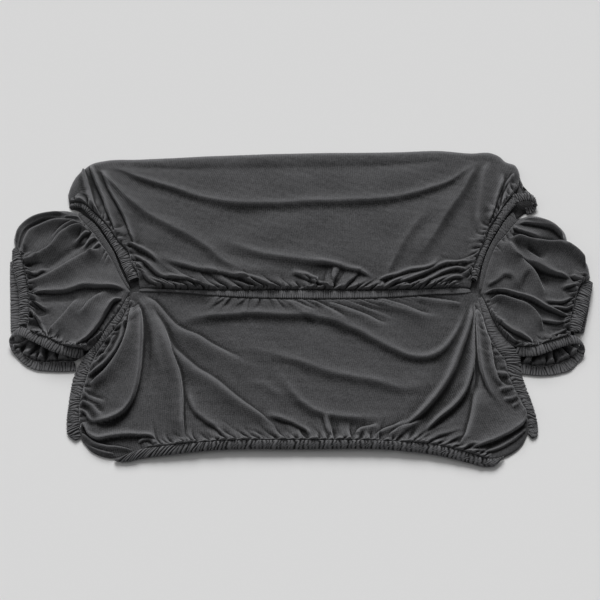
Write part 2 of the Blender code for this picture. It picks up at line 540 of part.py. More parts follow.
def banded(name):
    """The part of a seam that its band covers."""
    return spaced(seam(name), np.linspace(*BAND_SPANS[name], 240))


def build_back():
    make_panel("back_front_panel", PANELS["back_front_panel"])
    top = beside(seam("back top"), -SLEEVE_INSET)
    first, last = REAR_SIDE_SPAN
    ring = [spaced(top, np.linspace(0, 1, 60)),
            spaced(edge("back right"), np.linspace(last, 0, 14)), np.array(REAR_FRONT[::-1]),
            spaced(edge("back left")[::-1], np.linspace(1, first, 14))]
    make_flat_panel("back_rear_panel", np.concatenate(ring)[:, :2])
    make_band("back_band_left", beside(banded("back left"), SEAM_GAP), edge("back left"))
    loop = np.array(LOOP, float)
    inner = joined(beside(banded("back right"), -SEAM_GAP), smooth_line(loop[:, :3]))
    outer = joined(edge("back right"), smooth_line(loop[:, 3:]))
    make_band("back_band_right", inner, outer)


def build_seat():
    make_panel("seat_panel", PANELS["seat_panel"])
    make_band("seat_seam_band", beside(banded("back bottom"), -SEAM_GAP),
              beside(banded("seat top"), SEAM_GAP), pitch=SEAM_BAND_STEP, depth=0)
    make_band("seat_front_band", beside(banded("seat front"), -SEAM_GAP), edge("seat front"))
    for hand, way in (("left", 1), ("right", -1)):
        inner = beside(banded("seat " + hand), way * SEAM_GAP)[::-1]
        beside_arm = beside(banded(hand + " seat"), -way * SEAM_GAP)[::-1]
        make_band("seat_band_" + hand, inner, joined(beside_arm, edge("seat " + hand)))


def build_arm(hand, way):
    """Both layers of an arm pouch and its bands; way is +1 on the left, -1 on the right."""
    arm = "arm_" + hand
    make_panel(arm + "_upper_panel", PANELS[arm + "_upper_panel"])
    under_front = seam(hand + " under front")
    under_outer = seam(hand + " under outer")
    top = beside(seam(hand + " top"), -SLEEVE_INSET)
    slit = edge(hand + " slit")
    seat_side = beside(seam(hand + " seat"), way * SLEEVE_INSET)
    towards_outer = (1, 0) if way > 0 else (0, 1)
    ring = (spaced(under_front, np.linspace(*towards_outer, 8)),
            spaced(under_outer, np.linspace(0, 1, 8)),
            spaced(top, np.linspace(*LOWER_RIM_SPAN[hand], 24)),
            spaced(slit, np.linspace(*LOWER_SLIT_SPAN, 12)),
            spaced(seat_side, np.linspace(*LOWER_SEAT_SPAN, 10)))
    make_flat_panel(arm + "_lower_panel", np.concatenate(ring)[:, :2])
    make_band(arm + "_slit_tape", beside(banded(hand + " slit"), -way * SEAM_GAP), slit,
              thickness=TAPE, pitch=TAPE_STEP, depth=0)
    make_band(arm + "_outer_band", beside(banded(hand + " outer"), way * SEAM_GAP),
              edge(hand + " outer"))
    make_band(arm + "_under_band", beside(under_outer + UNDER_LIFT, way * SEAM_GAP),
              edge(hand + " under outer"))
    upper = beside(banded(hand + " mouth"), -SEAM_GAP)
    lower = beside(under_front, -SEAM_GAP) + UNDER_LIFT
    if way > 0:
        upper = upper[::-1]
    else:
        lower = lower[::-1]
    inner = joined(upper, np.array(TURNS[hand + " mouth"], float), lower)
    make_band(arm + "_mouth_band", inner, edge(hand + " mouth"))


def main():
    for item in list(bpy.data.objects):
        bpy.data.objects.remove(item)
    build_back()
    build_seat()
    build_arm("left", 1)
    build_arm("right", -1)


main()
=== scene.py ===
from collections import namedtuple
from functools import partial
import math

import bpy
import numpy as np
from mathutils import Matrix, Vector


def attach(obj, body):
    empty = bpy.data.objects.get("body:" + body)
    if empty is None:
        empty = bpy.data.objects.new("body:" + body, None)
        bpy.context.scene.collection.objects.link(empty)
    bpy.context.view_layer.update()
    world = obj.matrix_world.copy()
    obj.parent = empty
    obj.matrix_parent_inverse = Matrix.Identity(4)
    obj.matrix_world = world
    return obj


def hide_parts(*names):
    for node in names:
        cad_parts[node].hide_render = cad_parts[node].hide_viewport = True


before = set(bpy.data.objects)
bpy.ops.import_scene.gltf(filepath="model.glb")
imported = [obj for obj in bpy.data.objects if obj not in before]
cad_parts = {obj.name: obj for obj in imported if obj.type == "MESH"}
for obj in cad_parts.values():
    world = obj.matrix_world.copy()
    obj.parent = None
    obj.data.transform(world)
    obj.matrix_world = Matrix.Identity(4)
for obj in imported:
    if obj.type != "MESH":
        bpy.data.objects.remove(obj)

# Stretch slipcover for a small sofa, laid out empty and face up on a pale floor.
# Every panel and band replaces its solid in the frame: same seams and same folds, with the
# finer gathers, the ribs of the shirring, the stitching and the knit added.
# Tables are in centimetres, +X to the right, +Y to the back, +Z up.
print("frame loaded:", len(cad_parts), "solids")
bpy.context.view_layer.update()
cm = 0.01
fullTurn = 6.3      # radians, near enough for a random phase

cloth = {
    "thickness": 0.16,       # sheet, in centimetres
    "uneven": 0.14,          # height of the long, slow unevenness of slack cloth
    "crinkle": 0.025,        # height of the short unevenness
    "crinkleWave": 3.2,      # its wavelength
    "waves": 7,              # plane waves that make up either...
    "waveSpread": (0.7, 1.5),  # ...and the spread of their lengths about the mean
    "ribPitch": 0.0060,      # metres between the knit's upright ribs
    "rowPitch": 0.0056,      # metres between its rows
    # hollowDepth and hollowPasses set the painted shade of the hollows: a hollow this deep is
    # painted in full shade
    "hollowDepth": 0.22,     # how deep a hollow is when it is shaded in full
    "hollowPasses": 9,       # rounds of averaging that a point is compared with
    # underside: the lower face of a sheet is painted in shade
    "underside": 0.4,        # shade of the lower face, on the same scale
}

# Seams as points (x, y, z) of a smooth curve through the upper face of the cloth
rim = 0.14
seams = {
    "seat front": ((-59, -48.5, 0.4), (-56.5, -51, 0.4), (-53.5, -52.5, 0.4), (-49.5, -53, 0.5),
        (-43.5, -51, 1), (-35.5, -50, 1.5), (-24.5, -49, 1.7), (0, -48.5, 1.7), (27, -49, 1.7),
        (37.5, -50, 1.4), (46, -52.2, 1), (50.5, -53.5, 0.6), (55.8, -52.4, 0.4),
        (60.1, -49.3, 0.4), (62.2, -46, 0.4)),
    "seat left": ((-59, -48.5, 0.4), (-60, -46, 0.6), (-60.5, -43, 1.2), (-61, -38.5, 1.5),
        (-60.5, -33, 1.5), (-59.5, -27.5, 1.6), (-58, -22, 1.6), (-55, -16, 1.5),
        (-51.5, -10, 1.4), (-49, -0.5, 1.2)),
    "seat right": ((62.2, -46, 0.4), (62.5, -41.5, 0.8), (61.5, -37, 1.4), (60, -33, 1.5),
        (58.5, -28, 1.6), (58, -23.5, 1.6), (56, -20, 1.5), (54, -15, 1.4), (53, -9.5, 1.3),
        (52, -1, 1.2)),
    "seat top": ((-49, -0.5, 1.2), (-41.5, -0.5, 1.3), (-34, -1, 1.4), (-25, -2, 1.5),
        (0, -3, 1.5), (27.5, -2.5, 1.5), (39.5, -1.5, 1.4), (52, -1, 1.2)),
    "back bottom": ((-47, 1, 1.2), (-41.5, 0.5, 1.2), (-29.5, 0, 1.2), (0, 0, 1.2), (29, 0, 1.2),
        (50, 1, 1.2)),
    "back left": ((-47, 1, 1.2), (-48, 5.5, 1.5), (-50, 9, 1.6), (-51.5, 13.5, 1.6),
        (-54.5, 17, 1.6), (-58.5, 23, 1.6), (-63, 28, 1.8), (-67, 31.5, 1.8), (-70.5, 32.5, 1.2),
        (-72, 35.5, 0.6)),
    "back top": ((-72, 35.5, 0.6), (-71.5, 39, rim), (-70, 43, rim), (-68, 45.5, rim),
        (-66, 47.5, rim), (-61.5, 49, rim), (-51, 49.5, rim), (-25.5, 51, rim), (0, 52, rim),
        (31.5, 52.5, rim), (44.5, 53, rim), (54, 52, rim), (61, 52, rim), (63.5, 50.5, rim),
        (65, 48.5, rim), (68, 47, rim), (69, 44, rim), (68.5, 40.5, 0.6)),
    "back right": ((50, 1, 1.2), (51, 6.5, 1.6), (52.5, 10.5, 1.6), (55, 16, 1.6), (57.5, 22, 1.8),
        (60, 26, 2), (62.5, 30, 2.2), (65, 33.5, 2.2), (67, 37, 1.5), (68.5, 40.5, 0.6)),
    "left mouth": ((-78, -14, 3.5), (-75.5, -16, 3.8), (-72, -17.5, 4), (-69, -19, 4),
        (-66.5, -20, 3.6), (-63, -20.5, 3), (-60, -20.5, 2)),
    "left outer": ((-78, -14, 3.5), (-78, -9.5, 3.3), (-78.5, -5.5, 3), (-79.5, 0, 2.8),
        (-81.5, 6.5, 2.2), (-83.5, 12.5, 1.6), (-85.5, 16, 0.9), (-86.5, 18, rim)),
    "left top": ((-86.5, 18, rim), (-86.5, 20.5, rim), (-85, 23.5, rim), (-82.5, 26.5, rim),
        (-80, 28, rim), (-76.5, 29, rim), (-72, 29.3, rim), (-68.5, 28.5, 0.7)),
    "left seat": ((-60, -20.5, 2), (-58, -18, 2), (-55.5, -12.5, 1.6), (-52.5, -7, 1.5),
        (-50, -0.5, 1.2)),
    "left slit": ((-50, -0.5, 1.2), (-53, 4.5, 1.4), (-56, 10.5, 1.6), (-59.5, 16, 1.6),
        (-63, 21, 1.6), (-66, 24.5, 1.4), (-68.5, 28.5, 0.7)),
    "left under front": ((-78.5, -21.5, 0.2), (-75, -23, 0.2), (-70, -23.2, 0.2), (-64, -23, 0.2)),
    "left under outer": ((-80.3, -13.6, 0.2), (-82, -2.5, 0.2), (-83.5, 6, 0.2), (-84.5, 11, 0.2)),
    "right mouth": ((60.5, -19, 2), (63, -20, 3), (66.5, -20, 3.6), (70, -19, 4), (73, -18, 4),
        (75.5, -17, 3.8), (77, -16, 3.5)),
    "right outer": ((77, -16, 3.5), (77.5, -12, 3.3), (79, -7.5, 3), (80.5, -3, 2.6),
        (82.5, 1.5, 1.8), (86, 5, 0.6)),
    "right top": ((67.5, 26.5, 0.8), (71, 27.5, rim), (75, 26.5, rim), (78.5, 24, rim),
        (80.5, 21, rim), (81, 17.5, rim), (82, 15, rim), (84, 13, rim), (85.7, 10, rim),
        (86, 5, 0.6)),
    "right seat": ((60.5, -19, 2), (58, -15.5, 1.8), (56, -11, 1.6), (54.5, -6, 1.5),
        (53, -1, 1.2)),
    "right slit": ((53, -1, 1.2), (54.5, 4.5, 1.4), (56.5, 10.5, 1.6), (59.5, 16.5, 1.8),
        (62.5, 20, 2), (65, 23.5, 1.6), (67.5, 26.5, 0.8)),
    "right under front": ((62.6, -23.7, 0.2), (66, -24.5, 0.2), (71, -24.4, 0.2),
        (76.5, -22.5, 0.2)),
    "right under outer": ((79, -14, 0.2), (80.5, -8, 0.2), (82, -2.5, 0.2), (82.8, 0, 0.2)),
}

# Free edges of the bands, as points (x, y, z) through the middle of the band
edges = {
    "seat front": ((-50.6, -53.5, 0.4), (-49.2, -54.2, 0.4), (-46.6, -54.3, 0.4),
        (-43.5, -53.6, 0.4), (-35.5, -52.6, 0.9), (-24.5, -51.4, 1.1), (0, -51, 1.1),
        (27, -51.4, 1.1), (37.5, -52.8, 0.9), (45.5, -54.8, 0.6), (49.5, -55.8, 0.45),
        (52.4, -55.7, 0.45)),
    "seat left": ((-61.2, -22.4, 1.5), (-62.9, -25.4, 0.8), (-63.8, -28.5, 0.5), (-64.2, -33, 0.4),
        (-64.3, -38, 0.4), (-64.2, -43, 0.4), (-63.4, -46.4, 0.4), (-61.4, -48, 0.35)),
    "seat right": ((60.8, -19.4, 2.1), (62.4, -21.4, 1.8), (62.5, -24, 1.1), (62.6, -27.5, 0.5),
        (63.5, -32, 0.4), (64.4, -36, 0.4), (65.2, -40.5, 0.4), (65.3, -44, 0.4),
        (64.9, -46.4, 0.4), (63.4, -47.6, 0.4)),
    "back left": ((-50.5, 3, 1.5), (-52.5, 7.5, 1.6), (-54.5, 12, 1.6), (-57.5, 17.5, 1.6),
        (-61, 23, 1.6), (-64.5, 27, 1.8), (-67.5, 29.9, 1.8), (-71, 30.3, 1.2)),
    "back right": ((52.2, 3, 1.5), (53.2, 6.5, 1.6), (54.4, 10, 1.6), (56.6, 15.5, 1.6),
        (59.7, 21, 1.8), (61.8, 24.5, 2), (64.1, 27.8, 2.2), (66.6, 31, 2.4)),
    "left slit": ((-50, 1, 1.3), (-51.4, 3.5, 1.4), (-53.6, 8, 1.6), (-55.6, 13, 1.6),
        (-58.9, 18.6, 1.6), (-62.4, 23.8, 1.4), (-67.5, 28.8, 0.8)),
    "right slit": ((52.6, 0.8, 1.3), (53.8, 6.5, 1.4), (55.3, 11.6, 1.6), (57.7, 16.8, 1.8),
        (60.5, 21.7, 2), (63.1, 25.9, 1.8), (65.4, 28.8, 1.4)),
    "left outer": ((-80.6, -13.4, 3.3), (-81.3, -6, 3), (-82.5, -0.5, 2.6), (-84.3, 5, 2.1),
        (-86, 11, 1.4), (-86.5, 14.4, 0.9)),
    "right outer": ((80.3, -15, 2.6), (81.7, -11, 2.4), (83.3, -7, 2.1), (84.8, -3, 1.7),
        (86, 0.6, 1.2), (86.6, 3.2, 0.7)),
    "left under outer": ((-83.4, -13.8, 0.4), (-85, -2.5, 0.4), (-86.2, 6, 0.4), (-86.8, 11, 0.4)),
    "right under outer": ((81.8, -14, 0.4), (83.6, -8, 0.4), (85, -2.5, 0.4), (85.3, 0, 0.4)),
    "left mouth": ((-61.4, -22.3, 1.3), (-63.2, -23.1, 2), (-65.5, -22.9, 2.7), (-68, -22.3, 3.2),
        (-70.5, -21.5, 3.5), (-73.5, -19.8, 3.6), (-76.5, -18.2, 3.5), (-79, -16.8, 3.3),
        (-81.4, -16.4, 2.7), (-83, -17.2, 1.7), (-82.5, -19.4, 0.9), (-80.3, -22.2, 0.4),
        (-77.8, -24.5, 0.4), (-75, -25.9, 0.4), (-70.5, -26.5, 0.4), (-66.5, -26.6, 0.4),
        (-63, -26.4, 0.4)),
    "right mouth": ((61, -21.8, 1.4), (62.6, -22.5, 2), (64.3, -22.9, 2.7), (66.5, -23, 3.2),
        (69.5, -22.2, 3.6), (72.5, -20.9, 3.6), (75, -20, 3.5), (77.2, -19.2, 3.2),
        (79.4, -19, 2.6), (81, -19.8, 1.7), (80.7, -21.6, 0.8), (78.8, -23.7, 0.4),
        (76.5, -26, 0.4), (72.5, -27.4, 0.4), (68.5, -27.9, 0.4), (65.5, -27.8, 0.4),
        (62.2, -27.2, 0.4)),
}

# Where the mouth band turns over from the upper to the lower layer: its inner edge
turns = {
    "left mouth": ((-80, -13.2, 3.1), (-81.8, -14.6, 2), (-81.6, -17.6, 1.1)),
    "right mouth": ((78.9, -16.2, 2.8), (79.9, -17.8, 1.8), (79, -20.2, 0.9)),
}

# The loose end of the right back band: a loop, as rows of inner and outer edge
looseLoop = (
    (68.3, 34.6, 2.9, 69, 31.6, 2.8),
    (70.4, 34.7, 2.7, 71, 31.7, 2.4),
    (72, 34, 2, 72.3, 31, 1.7),
    (72.4, 32.6, 1.2, 72.4, 29.8, 1),
    (71.4, 31.4, 0.6, 71.6, 28.8, 0.6),
    (69.4, 30.8, 0.4, 69.8, 28.2, 0.4),
)


linePoints = 240    # of a seam or an edge
foldPoints = 60     # of a fold's crest


# Curve through the points: each span is a cubic whose slope at a point is the slope between
# that point's neighbours, then read at even distances
def smoothLine(points, count=linePoints):
    knots = np.array(points, float)
    chord = np.append(0, np.cumsum(np.linalg.norm(np.diff(knots, axis=0), axis=1)))
    slope = np.gradient(knots, chord, axis=0)
    place = np.linspace(0, chord[-1], count * 2)
    left = np.clip(np.searchsorted(chord, place, side="right") - 1, 0, len(knots) - 2)
    width = (chord[left + 1] - chord[left])[:, None]
    s = (place - chord[left])[:, None] / width
    line = ((2 * s**3 - 3 * s**2 + 1) * knots[left] + (s**3 - 2 * s**2 + s) * width * slope[left]
            + (3 * s**2 - 2 * s**3) * knots[left + 1] + (s**3 - s**2) * width * slope[left + 1])
    return readLine(line, np.linspace(0, 1, count))


# The line's points at the given fractions of its length
def readLine(line, fractions):
    run = np.append(0, np.cumsum(np.linalg.norm(np.diff(line, axis=0), axis=1)))
    return np.stack([np.interp(np.asarray(fractions) * run[-1], run, line[:, k])
                     for k in range(3)], axis=1)


# Sum of the distances from point to point
def lineLength(line):
    return np.linalg.norm(np.diff(line, axis=0), axis=1).sum()


# The named seams, one after another
def seamLine(*names):
    parts = [smoothLine(seams[name]) for name in names]
    return np.concatenate([parts[0]] + [part[1:] for part in parts[1:]])


def edgeLine(name):
    return smoothLine(edges[name])


# The stretch of a line between two shares of its length
def cutLine(line, first, last):
    return readLine(line, np.linspace(first, last, linePoints))


# Lines one after another, with straight runs from each to the next
def joinLines(*lines):
    return readLine(np.concatenate(lines), np.linspace(0, 1, linePoints))


# The line moved sideways in plan by a distance, to its left when that is positive
def besideLine(line, distance):
    run = np.gradient(line[:, :2], axis=0)
    run /= np.linalg.norm(run, axis=1)[:, None]
    moved = line.copy()
    moved[:, 0] -= run[:, 1] * distance
    moved[:, 1] += run[:, 0] * distance
    return moved


# Foot of the perpendicular from plan points to a line: distance, place along it from 0 to 1,
# side (1 on its left, -1 on its right) and the line's heading there.  The nearest of every
# eighth corner comes first, then the nearest of the segments about it.
def nearestOnLine(plan, line):
    skip = 8
    batch = 20000       # points handled at a time, to spare memory
    start = line[:-1, :2]
    run = line[1:, :2] - start
    size = (run**2).sum(1)
    unit = run / np.sqrt(size)[:, None]
    some = np.arange(0, len(start), skip)
    found = []
    for part in np.array_split(plan, max(len(plan) // batch, 1)):
        first = some[((part[:, None] - start[some])**2).sum(2).argmin(1)]
        near = np.clip(first[:, None] + np.arange(-skip, skip + 1), 0, len(start) - 1)
        away = part[:, None] - start[near]
        along = np.clip((away * run[near]).sum(2) / size[near], 0, 1)
        gap = ((away - along[..., None] * run[near])**2).sum(2)
        pick = gap.argmin(1)
        rows = np.arange(len(part))
        which = near[rows, pick]
        across = run[which, 0] * away[rows, pick, 1] - run[which, 1] * away[rows, pick, 0]
        found.append((np.sqrt(gap[rows, pick]), (which + along[rows, pick]) / len(run),
                      np.sign(across), unit[which]))
    return [np.concatenate(column) for column in zip(*found)]


# Smooth rise from 0 to 1: three times the square less twice the cube
def stepUp(share):
    share = np.clip(share, 0, 1)
    return share * share * (3 - 2 * share)


# Quarter of an ellipse: steep at 0, level at 1
def dome(share):
    return np.sqrt(1 - (1 - np.clip(share, 0, 1))**2)


# Fractions from 0 to 1, closer together near the two ends by the given weights
def ladder(count, atStart, atEnd):
    even = np.linspace(0, 1, 2001)
    nearEnd = 0.09
    crowd = 1 + atStart * np.exp(-even / nearEnd) + atEnd * np.exp(-(1 - even) / nearEnd)
    run = np.append(0, np.cumsum((crowd[1:] + crowd[:-1]) / 2))
    return np.interp(np.linspace(0, run[-1], count), run, even)


# Coons patch: the two ways of ruling between opposite sides, less the one through the corners
def stretchBetween(sides, us, vs):
    bottom, top = (readLine(sides[name], us)[:, None] for name in ("bottom", "top"))
    left, right = (readLine(sides[name], vs)[None] for name in ("left", "right"))
    u = us[:, None, None]
    v = vs[None, :, None]
    corners = ((1 - u) * (1 - v) * bottom[0, 0] + u * (1 - v) * bottom[-1, 0]
               + (1 - u) * v * top[0, 0] + u * v * top[-1, 0])
    return (1 - v) * bottom + v * top + (1 - u) * left + u * right - corners


# How every fold runs; shares are of its height, its length or its half width
foldShape = {
    "sewn": 2.5,             # an end nearer than this to a border is sewn in there...
    "loose": 3.5,            # ...and one this much further off is loose, in centimetres
    "sewnFade": 0.13,        # share of its length over which a sewn end rises
    "looseFade": 0.24,       # what that gains at a loose end
    "longestFade": 20,       # most that either of them covers, in centimetres
    "margin": 5,             # how far a fold's effect is looked for, in broad half widths
    "slimBy": 0.5,           # how much slimmer a sewn end is...
    "slimOver": 0.4,         # ...and over what share of the length
    "flare": 0.5,            # how much wider a loose end is
    "crispWidth": 1.5,       # steep sides narrower than this are crisp...
    "crispOver": 0.8,        # ...in full when narrower by this, in centimetres
    "softEnd": 1.3,          # how soon a loose end stops being crisp
    "dip": 0.2,              # depth of the crease beside a crisp side
    "evenDip": 0.4,          # share of that on a fold as steep on both sides
    "dipReach": 1.6,         # how far the crease reaches, in half widths
    "trough": 0.3,           # depth of the hollow beside a wide side
    "troughReach": 2.2,      # how far that reaches, in half widths
    "bellPower": 1.7,        # roundness of a wide steep side
    "slopePower": 1.6,       # roundness of the broad side
    "lean": 0.4,             # how far a lopsided fold leans over
}


# Each fold has a crest line.  On its broad side it falls away evenly from the crest.  On its
# steep side a narrow fold is a quarter ellipse that falls into a crease, and a wide one a bell
# that runs out in a shallow hollow.  The crest leans over the steep side.  Towards an end at a
# border the fold grows slim and stops short; towards a loose end it grows wide and dies away.
def mainFolds(plan, folds, borders, relief):
    shape = foldShape
    height = np.zeros(len(plan))
    shift = np.zeros((len(plan), 2))
    for top, onLeft, onRight, *points in folds:
        line = smoothLine([(x, y, 0) for x, y in points], foldPoints)
        narrow, broad = sorted((onLeft, onRight))
        long = lineLength(line)
        margin = shape["margin"] * broad
        corners = line[:, :2].min(0) - margin, line[:, :2].max(0) + margin
        near = np.flatnonzero(((plan > corners[0]) & (plan < corners[1])).all(1))
        distance, place, side, heading = nearestOnLine(plan[near], line)
        steep = 1 if onLeft < onRight else -1
        ends, slim, loose = 1, 1, 0
        for end, fromEnd in ((0, place), (-1, 1 - place)):
            gap = min(nearestOnLine(line[[end], :2], border)[0][0] for border in borders)
            free = stepUp((gap - shape["sewn"]) / shape["loose"])
            rise = min(shape["sewnFade"] + shape["looseFade"] * free, shape["longestFade"] / long)
            fade = stepUp(fromEnd / rise)
            ends = ends * fade
            slim = slim * (1 - shape["slimBy"] * (1 - free)
                           * (1 - stepUp(fromEnd / shape["slimOver"])))
            loose = loose + free * (1 - fade)
        slim = slim * (1 + shape["flare"] * loose)
        away = distance * side * steep / (narrow * slim)
        crisp = stepUp((shape["crispWidth"] - narrow) / shape["crispOver"]) \
            * (1 - np.clip(shape["softEnd"] * loose, 0, 1))
        evenShare = shape["evenDip"]
        dip = shape["dip"] * (evenShare + (1 - evenShare) * (1 - narrow / broad)) * crisp
        ellipse = (1 + dip) * np.sqrt(1 - np.clip(away, 0, 1)**2) - dip
        edge = np.where(away < 1, ellipse, -dip * np.exp(np.minimum(1 - away, 0)
                                                         / shape["dipReach"]))
        past = np.maximum(away, 0)
        bell = (1 + shape["trough"]) * np.exp(-past**shape["bellPower"]) \
            - shape["trough"] * np.exp(-past / shape["troughReach"])
        edge = crisp * edge + (1 - crisp) * bell
        slope = np.exp(-(distance / (broad * slim))**shape["slopePower"])
        profile = ends * np.where(away > 0, edge, slope)
        height[near] += relief * top * profile
        lean = shape["lean"] * abs(top) * (1 - narrow / broad) * np.clip(profile, 0, 1) * steep
        shift[near] += lean[:, None] * np.stack([-heading[:, 1], heading[:, 0]], axis=1)
    return height, shift


# A row of gathers along one side of a panel: mean width of its rolls, their height and reach,
# how soon they rise from the seam, the shares of the seam between which they lie, their slant
# at places along it, and the depth of the pockets between them as a share of their height
gatherRow = namedtuple("gatherRow", "side pitch height reach rise span slant pocket",
                       defaults=(0.5,))
gatherShape = {
    "widths": (0.6, 1.45),   # spread of the rolls' widths, as shares of the mean one
    "heights": (0.55, 1.3),  # the same for their heights
    "reaches": (0.65, 1.25),  # and their reaches
    "longOnes": 0.3,         # share of the rolls that reach further...
    "longer": 1.6,           # ...by this factor
    "crests": (0.1, 0.5),    # how far the crest lies off the middle, in half widths
    "slant": 0.16,           # spread of the slants
    "bend": 0.2,             # spread of the bends
    "wander": 0.14,          # how far a roll swings to and fro, as a share of its width
    "half": 0.54,            # its half width at the seam, as a share of its width...
    "widening": 0.34,        # ...and what that gains over its reach
    "lean": 0.5,             # how far a roll leans along the seam, as a share of its height
    "fade": 0.04,            # share of the seam over which the row begins and ends
    "pocketRise": 0.12,      # share of the reach over which the pockets deepen...
    "pocketFall": (0.2, 0.6),  # ...and where they start to level out, and over what share
    "batch": 8000,           # points handled at a time
}


# Cloth drawn together at a seam: a row of rolls that start at the seam and die away from it.
# Each roll rises as two quarter ellipses to a crest off its middle, with its own width, height,
# reach and slant.  Where rolls meet the higher one wins, and between them lies a pocket.  The
# rolls lean along the seam, towards their steep side.
def gatherRolls(run, distance, long, row, rng):
    shape = gatherShape
    first, last = (share * long for share in row.span)
    count = int((last - first) / row.pitch) + 2
    spacing = row.pitch * rng.uniform(*shape["widths"], count)
    middles = first + np.cumsum(spacing) - spacing / 2
    heights = row.height * rng.uniform(*shape["heights"], count)
    reaches = row.reach * np.where(rng.random(count) < shape["longOnes"], shape["longer"], 1) \
        * rng.uniform(*shape["reaches"], count)
    slants = np.interp(middles / long, *zip(*row.slant)) + rng.normal(0, shape["slant"], count)
    bends = rng.normal(0, shape["bend"], count)
    swings = rng.uniform(0, fullTurn, count)
    crests = rng.uniform(*shape["crests"], count)
    total = np.zeros(len(run))
    pocket = np.zeros(len(run))
    near = np.flatnonzero(distance < row.reach * 2)
    for part in np.array_split(near, max(len(near) // shape["batch"], 1)):
        d = distance[part, None]
        q = d / reaches
        centre = middles + slants * d * (1 + bends * d / reaches) \
            + shape["wander"] * spacing * np.sin(4 * q + swings)
        t = (run[part, None] - centre) / (spacing * (shape["half"] + shape["widening"] * q))
        across = np.where(t < crests, (1 + t) / (1 + crests), (1 - t) / (1 - crests))
        bulge = dome(across)
        fade = stepUp(d / row.rise) * (1 - stepUp(q))
        total[part] = ((heights * bulge * fade)**4).sum(1)**0.25
        between = 1 - np.minimum((bulge**3).sum(1), 1)
        far = distance[part] / row.reach
        level, over = shape["pocketFall"]
        pocket[part] = between * stepUp(far / shape["pocketRise"]) \
            * (1 - stepUp((far - level) / over))
    share = run / long
    window = stepUp((share - row.span[0]) / shape["fade"]) \
        * stepUp((row.span[1] - share) / shape["fade"])
    return (total - row.pocket * row.height * pocket) * window, shape["lean"] * total * window


# Sum of a few plane waves of about one length, each with its own heading and phase, over the
# root of their number
def slowWaves(plan, wavelength, rng):
    total = np.zeros(len(plan))
    for _ in range(cloth["waves"]):
        turn, phase = rng.uniform(0, fullTurn, 2)
        size = wavelength * rng.uniform(*cloth["waveSpread"])
        along = plan[:, 0] * math.cos(turn) + plan[:, 1] * math.sin(turn)
        total += np.sin(along * 6.28 / size + phase)    # 6.28 = once round
    return total / math.sqrt(cloth["waves"])


# Each inner point moved half way to the mean of its four neighbours
def eased(grid):
    mean = (grid[2:, 1:-1] + grid[:-2, 1:-1] + grid[1:-1, 2:] + grid[1:-1, :-2]) / 4
    grid[1:-1, 1:-1] += 0.5 * (mean - grid[1:-1, 1:-1])
    return grid


# Outward side of each border: a panel runs on under its bands by the tuck
outward = {"bottom": -1, "top": 1, "left": 1, "right": -1}
seamEnd = 0.03      # share of a seam over which the tuck begins
sideCrowd = 0.3     # how much closer together the columns stand at the two sides
sideFade = 1.2      # gathers of one side stop this near the others, in centimetres


# Upper face of a panel as a grid of points.  Height = the border's, rising as a quarter
# ellipse to the resting height, plus folds, gathers and unevenness inside the border.
def panelGrid(panel):
    rng = np.random.default_rng(panel["seed"])
    sides = {name: seamLine(*panel[name]) for name in outward}
    outer = {}
    for name, line in sides.items():
        share = np.linspace(0, 1, len(line))
        ease = stepUp(share / seamEnd) * stepUp((1 - share) / seamEnd)
        outer[name] = besideLine(line, outward[name] * panel["tuck"].get(name, 0) * ease)
    across = ladder(panel["columns"], sideCrowd, sideCrowd)
    up = ladder(panel["rows"], *panel["crowd"])
    grid = stretchBetween(outer, across, up)
    points = grid.reshape(-1, 3)
    plan = points[:, :2].copy()
    away = {}
    runs = {}
    headings = {}
    for name, line in sides.items():
        distance, place, side, headings[name] = nearestOnLine(plan, line)
        away[name] = np.where(side == outward[name], 0, distance)
        runs[name] = place * lineLength(line)
    rise = np.ones(len(points))
    window = np.ones(len(points))
    border = np.ones(len(points))
    for name, reach in zip(("bottom", "top", "left", "right"), panel["reach"]):
        rise *= dome(away[name] / reach)
        window *= stepUp(away[name] / reach)
        border *= stepUp(away[name] / panel["border"])
    folds, shift = mainFolds(plan, panel["folds"], list(sides.values()), panel["relief"])
    height = points[:, 2] * (1 - rise) + panel["rest"] * rise + border * folds
    shift *= border[:, None]
    for row in panel["gathers"]:
        side = row.side
        others = np.prod([stepUp(away[name] / sideFade) for name in away if name != side], axis=0)
        rolls, sideways = gatherRolls(runs[side], away[side], lineLength(sides[side]), row, rng)
        height += others * rolls
        shift += (others * sideways)[:, None] * headings[side]
    height += window * cloth["uneven"] * panel["slack"] * slowWaves(plan, panel["wave"], rng)
    height += window * cloth["crinkle"] * slowWaves(plan, cloth["crinkleWave"], rng)
    height = np.clip(height, panel["lowest"], panel["highest"])
    inside = np.minimum.reduce(list(away.values())) > 0
    points[:, 2] = np.where(inside, height, points[:, 2])
    points[:, :2] += inside[:, None] * shift
    return eased(points.reshape(grid.shape)), across, up


# Every piece rides on the one body, stands for its solids and carries its material
def finishPiece(piece, nodes, material):
    piece.data.materials.append(material)
    bpy.context.scene.collection.objects.link(piece)
    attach(piece, "root")
    if nodes:
        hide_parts(*nodes)


# Mesh from points in centimetres, none below the floor, with its flat map in metres, corner by
# corner, and the mark of painted shade and highlight, point by point
def clothMesh(name, points, faces, flat, hollow):
    points = points * cm
    points[:, 2] = np.maximum(points[:, 2], 0)
    mesh = bpy.data.meshes.new(name)
    mesh.from_pydata(points.tolist(), [], faces)
    layer = mesh.uv_layers.new(name="flat")
    layer.data.foreach_set("uv", flat.astype(np.float32).ravel())
    mesh.polygons.foreach_set("use_smooth", np.ones(len(faces), bool))
    marks = mesh.attributes.new("hollow", "FLOAT", "POINT")
    marks.data.foreach_set("value", np.asarray(hollow, np.float32).ravel())
    mesh.validate()
    mesh.update()
    return mesh


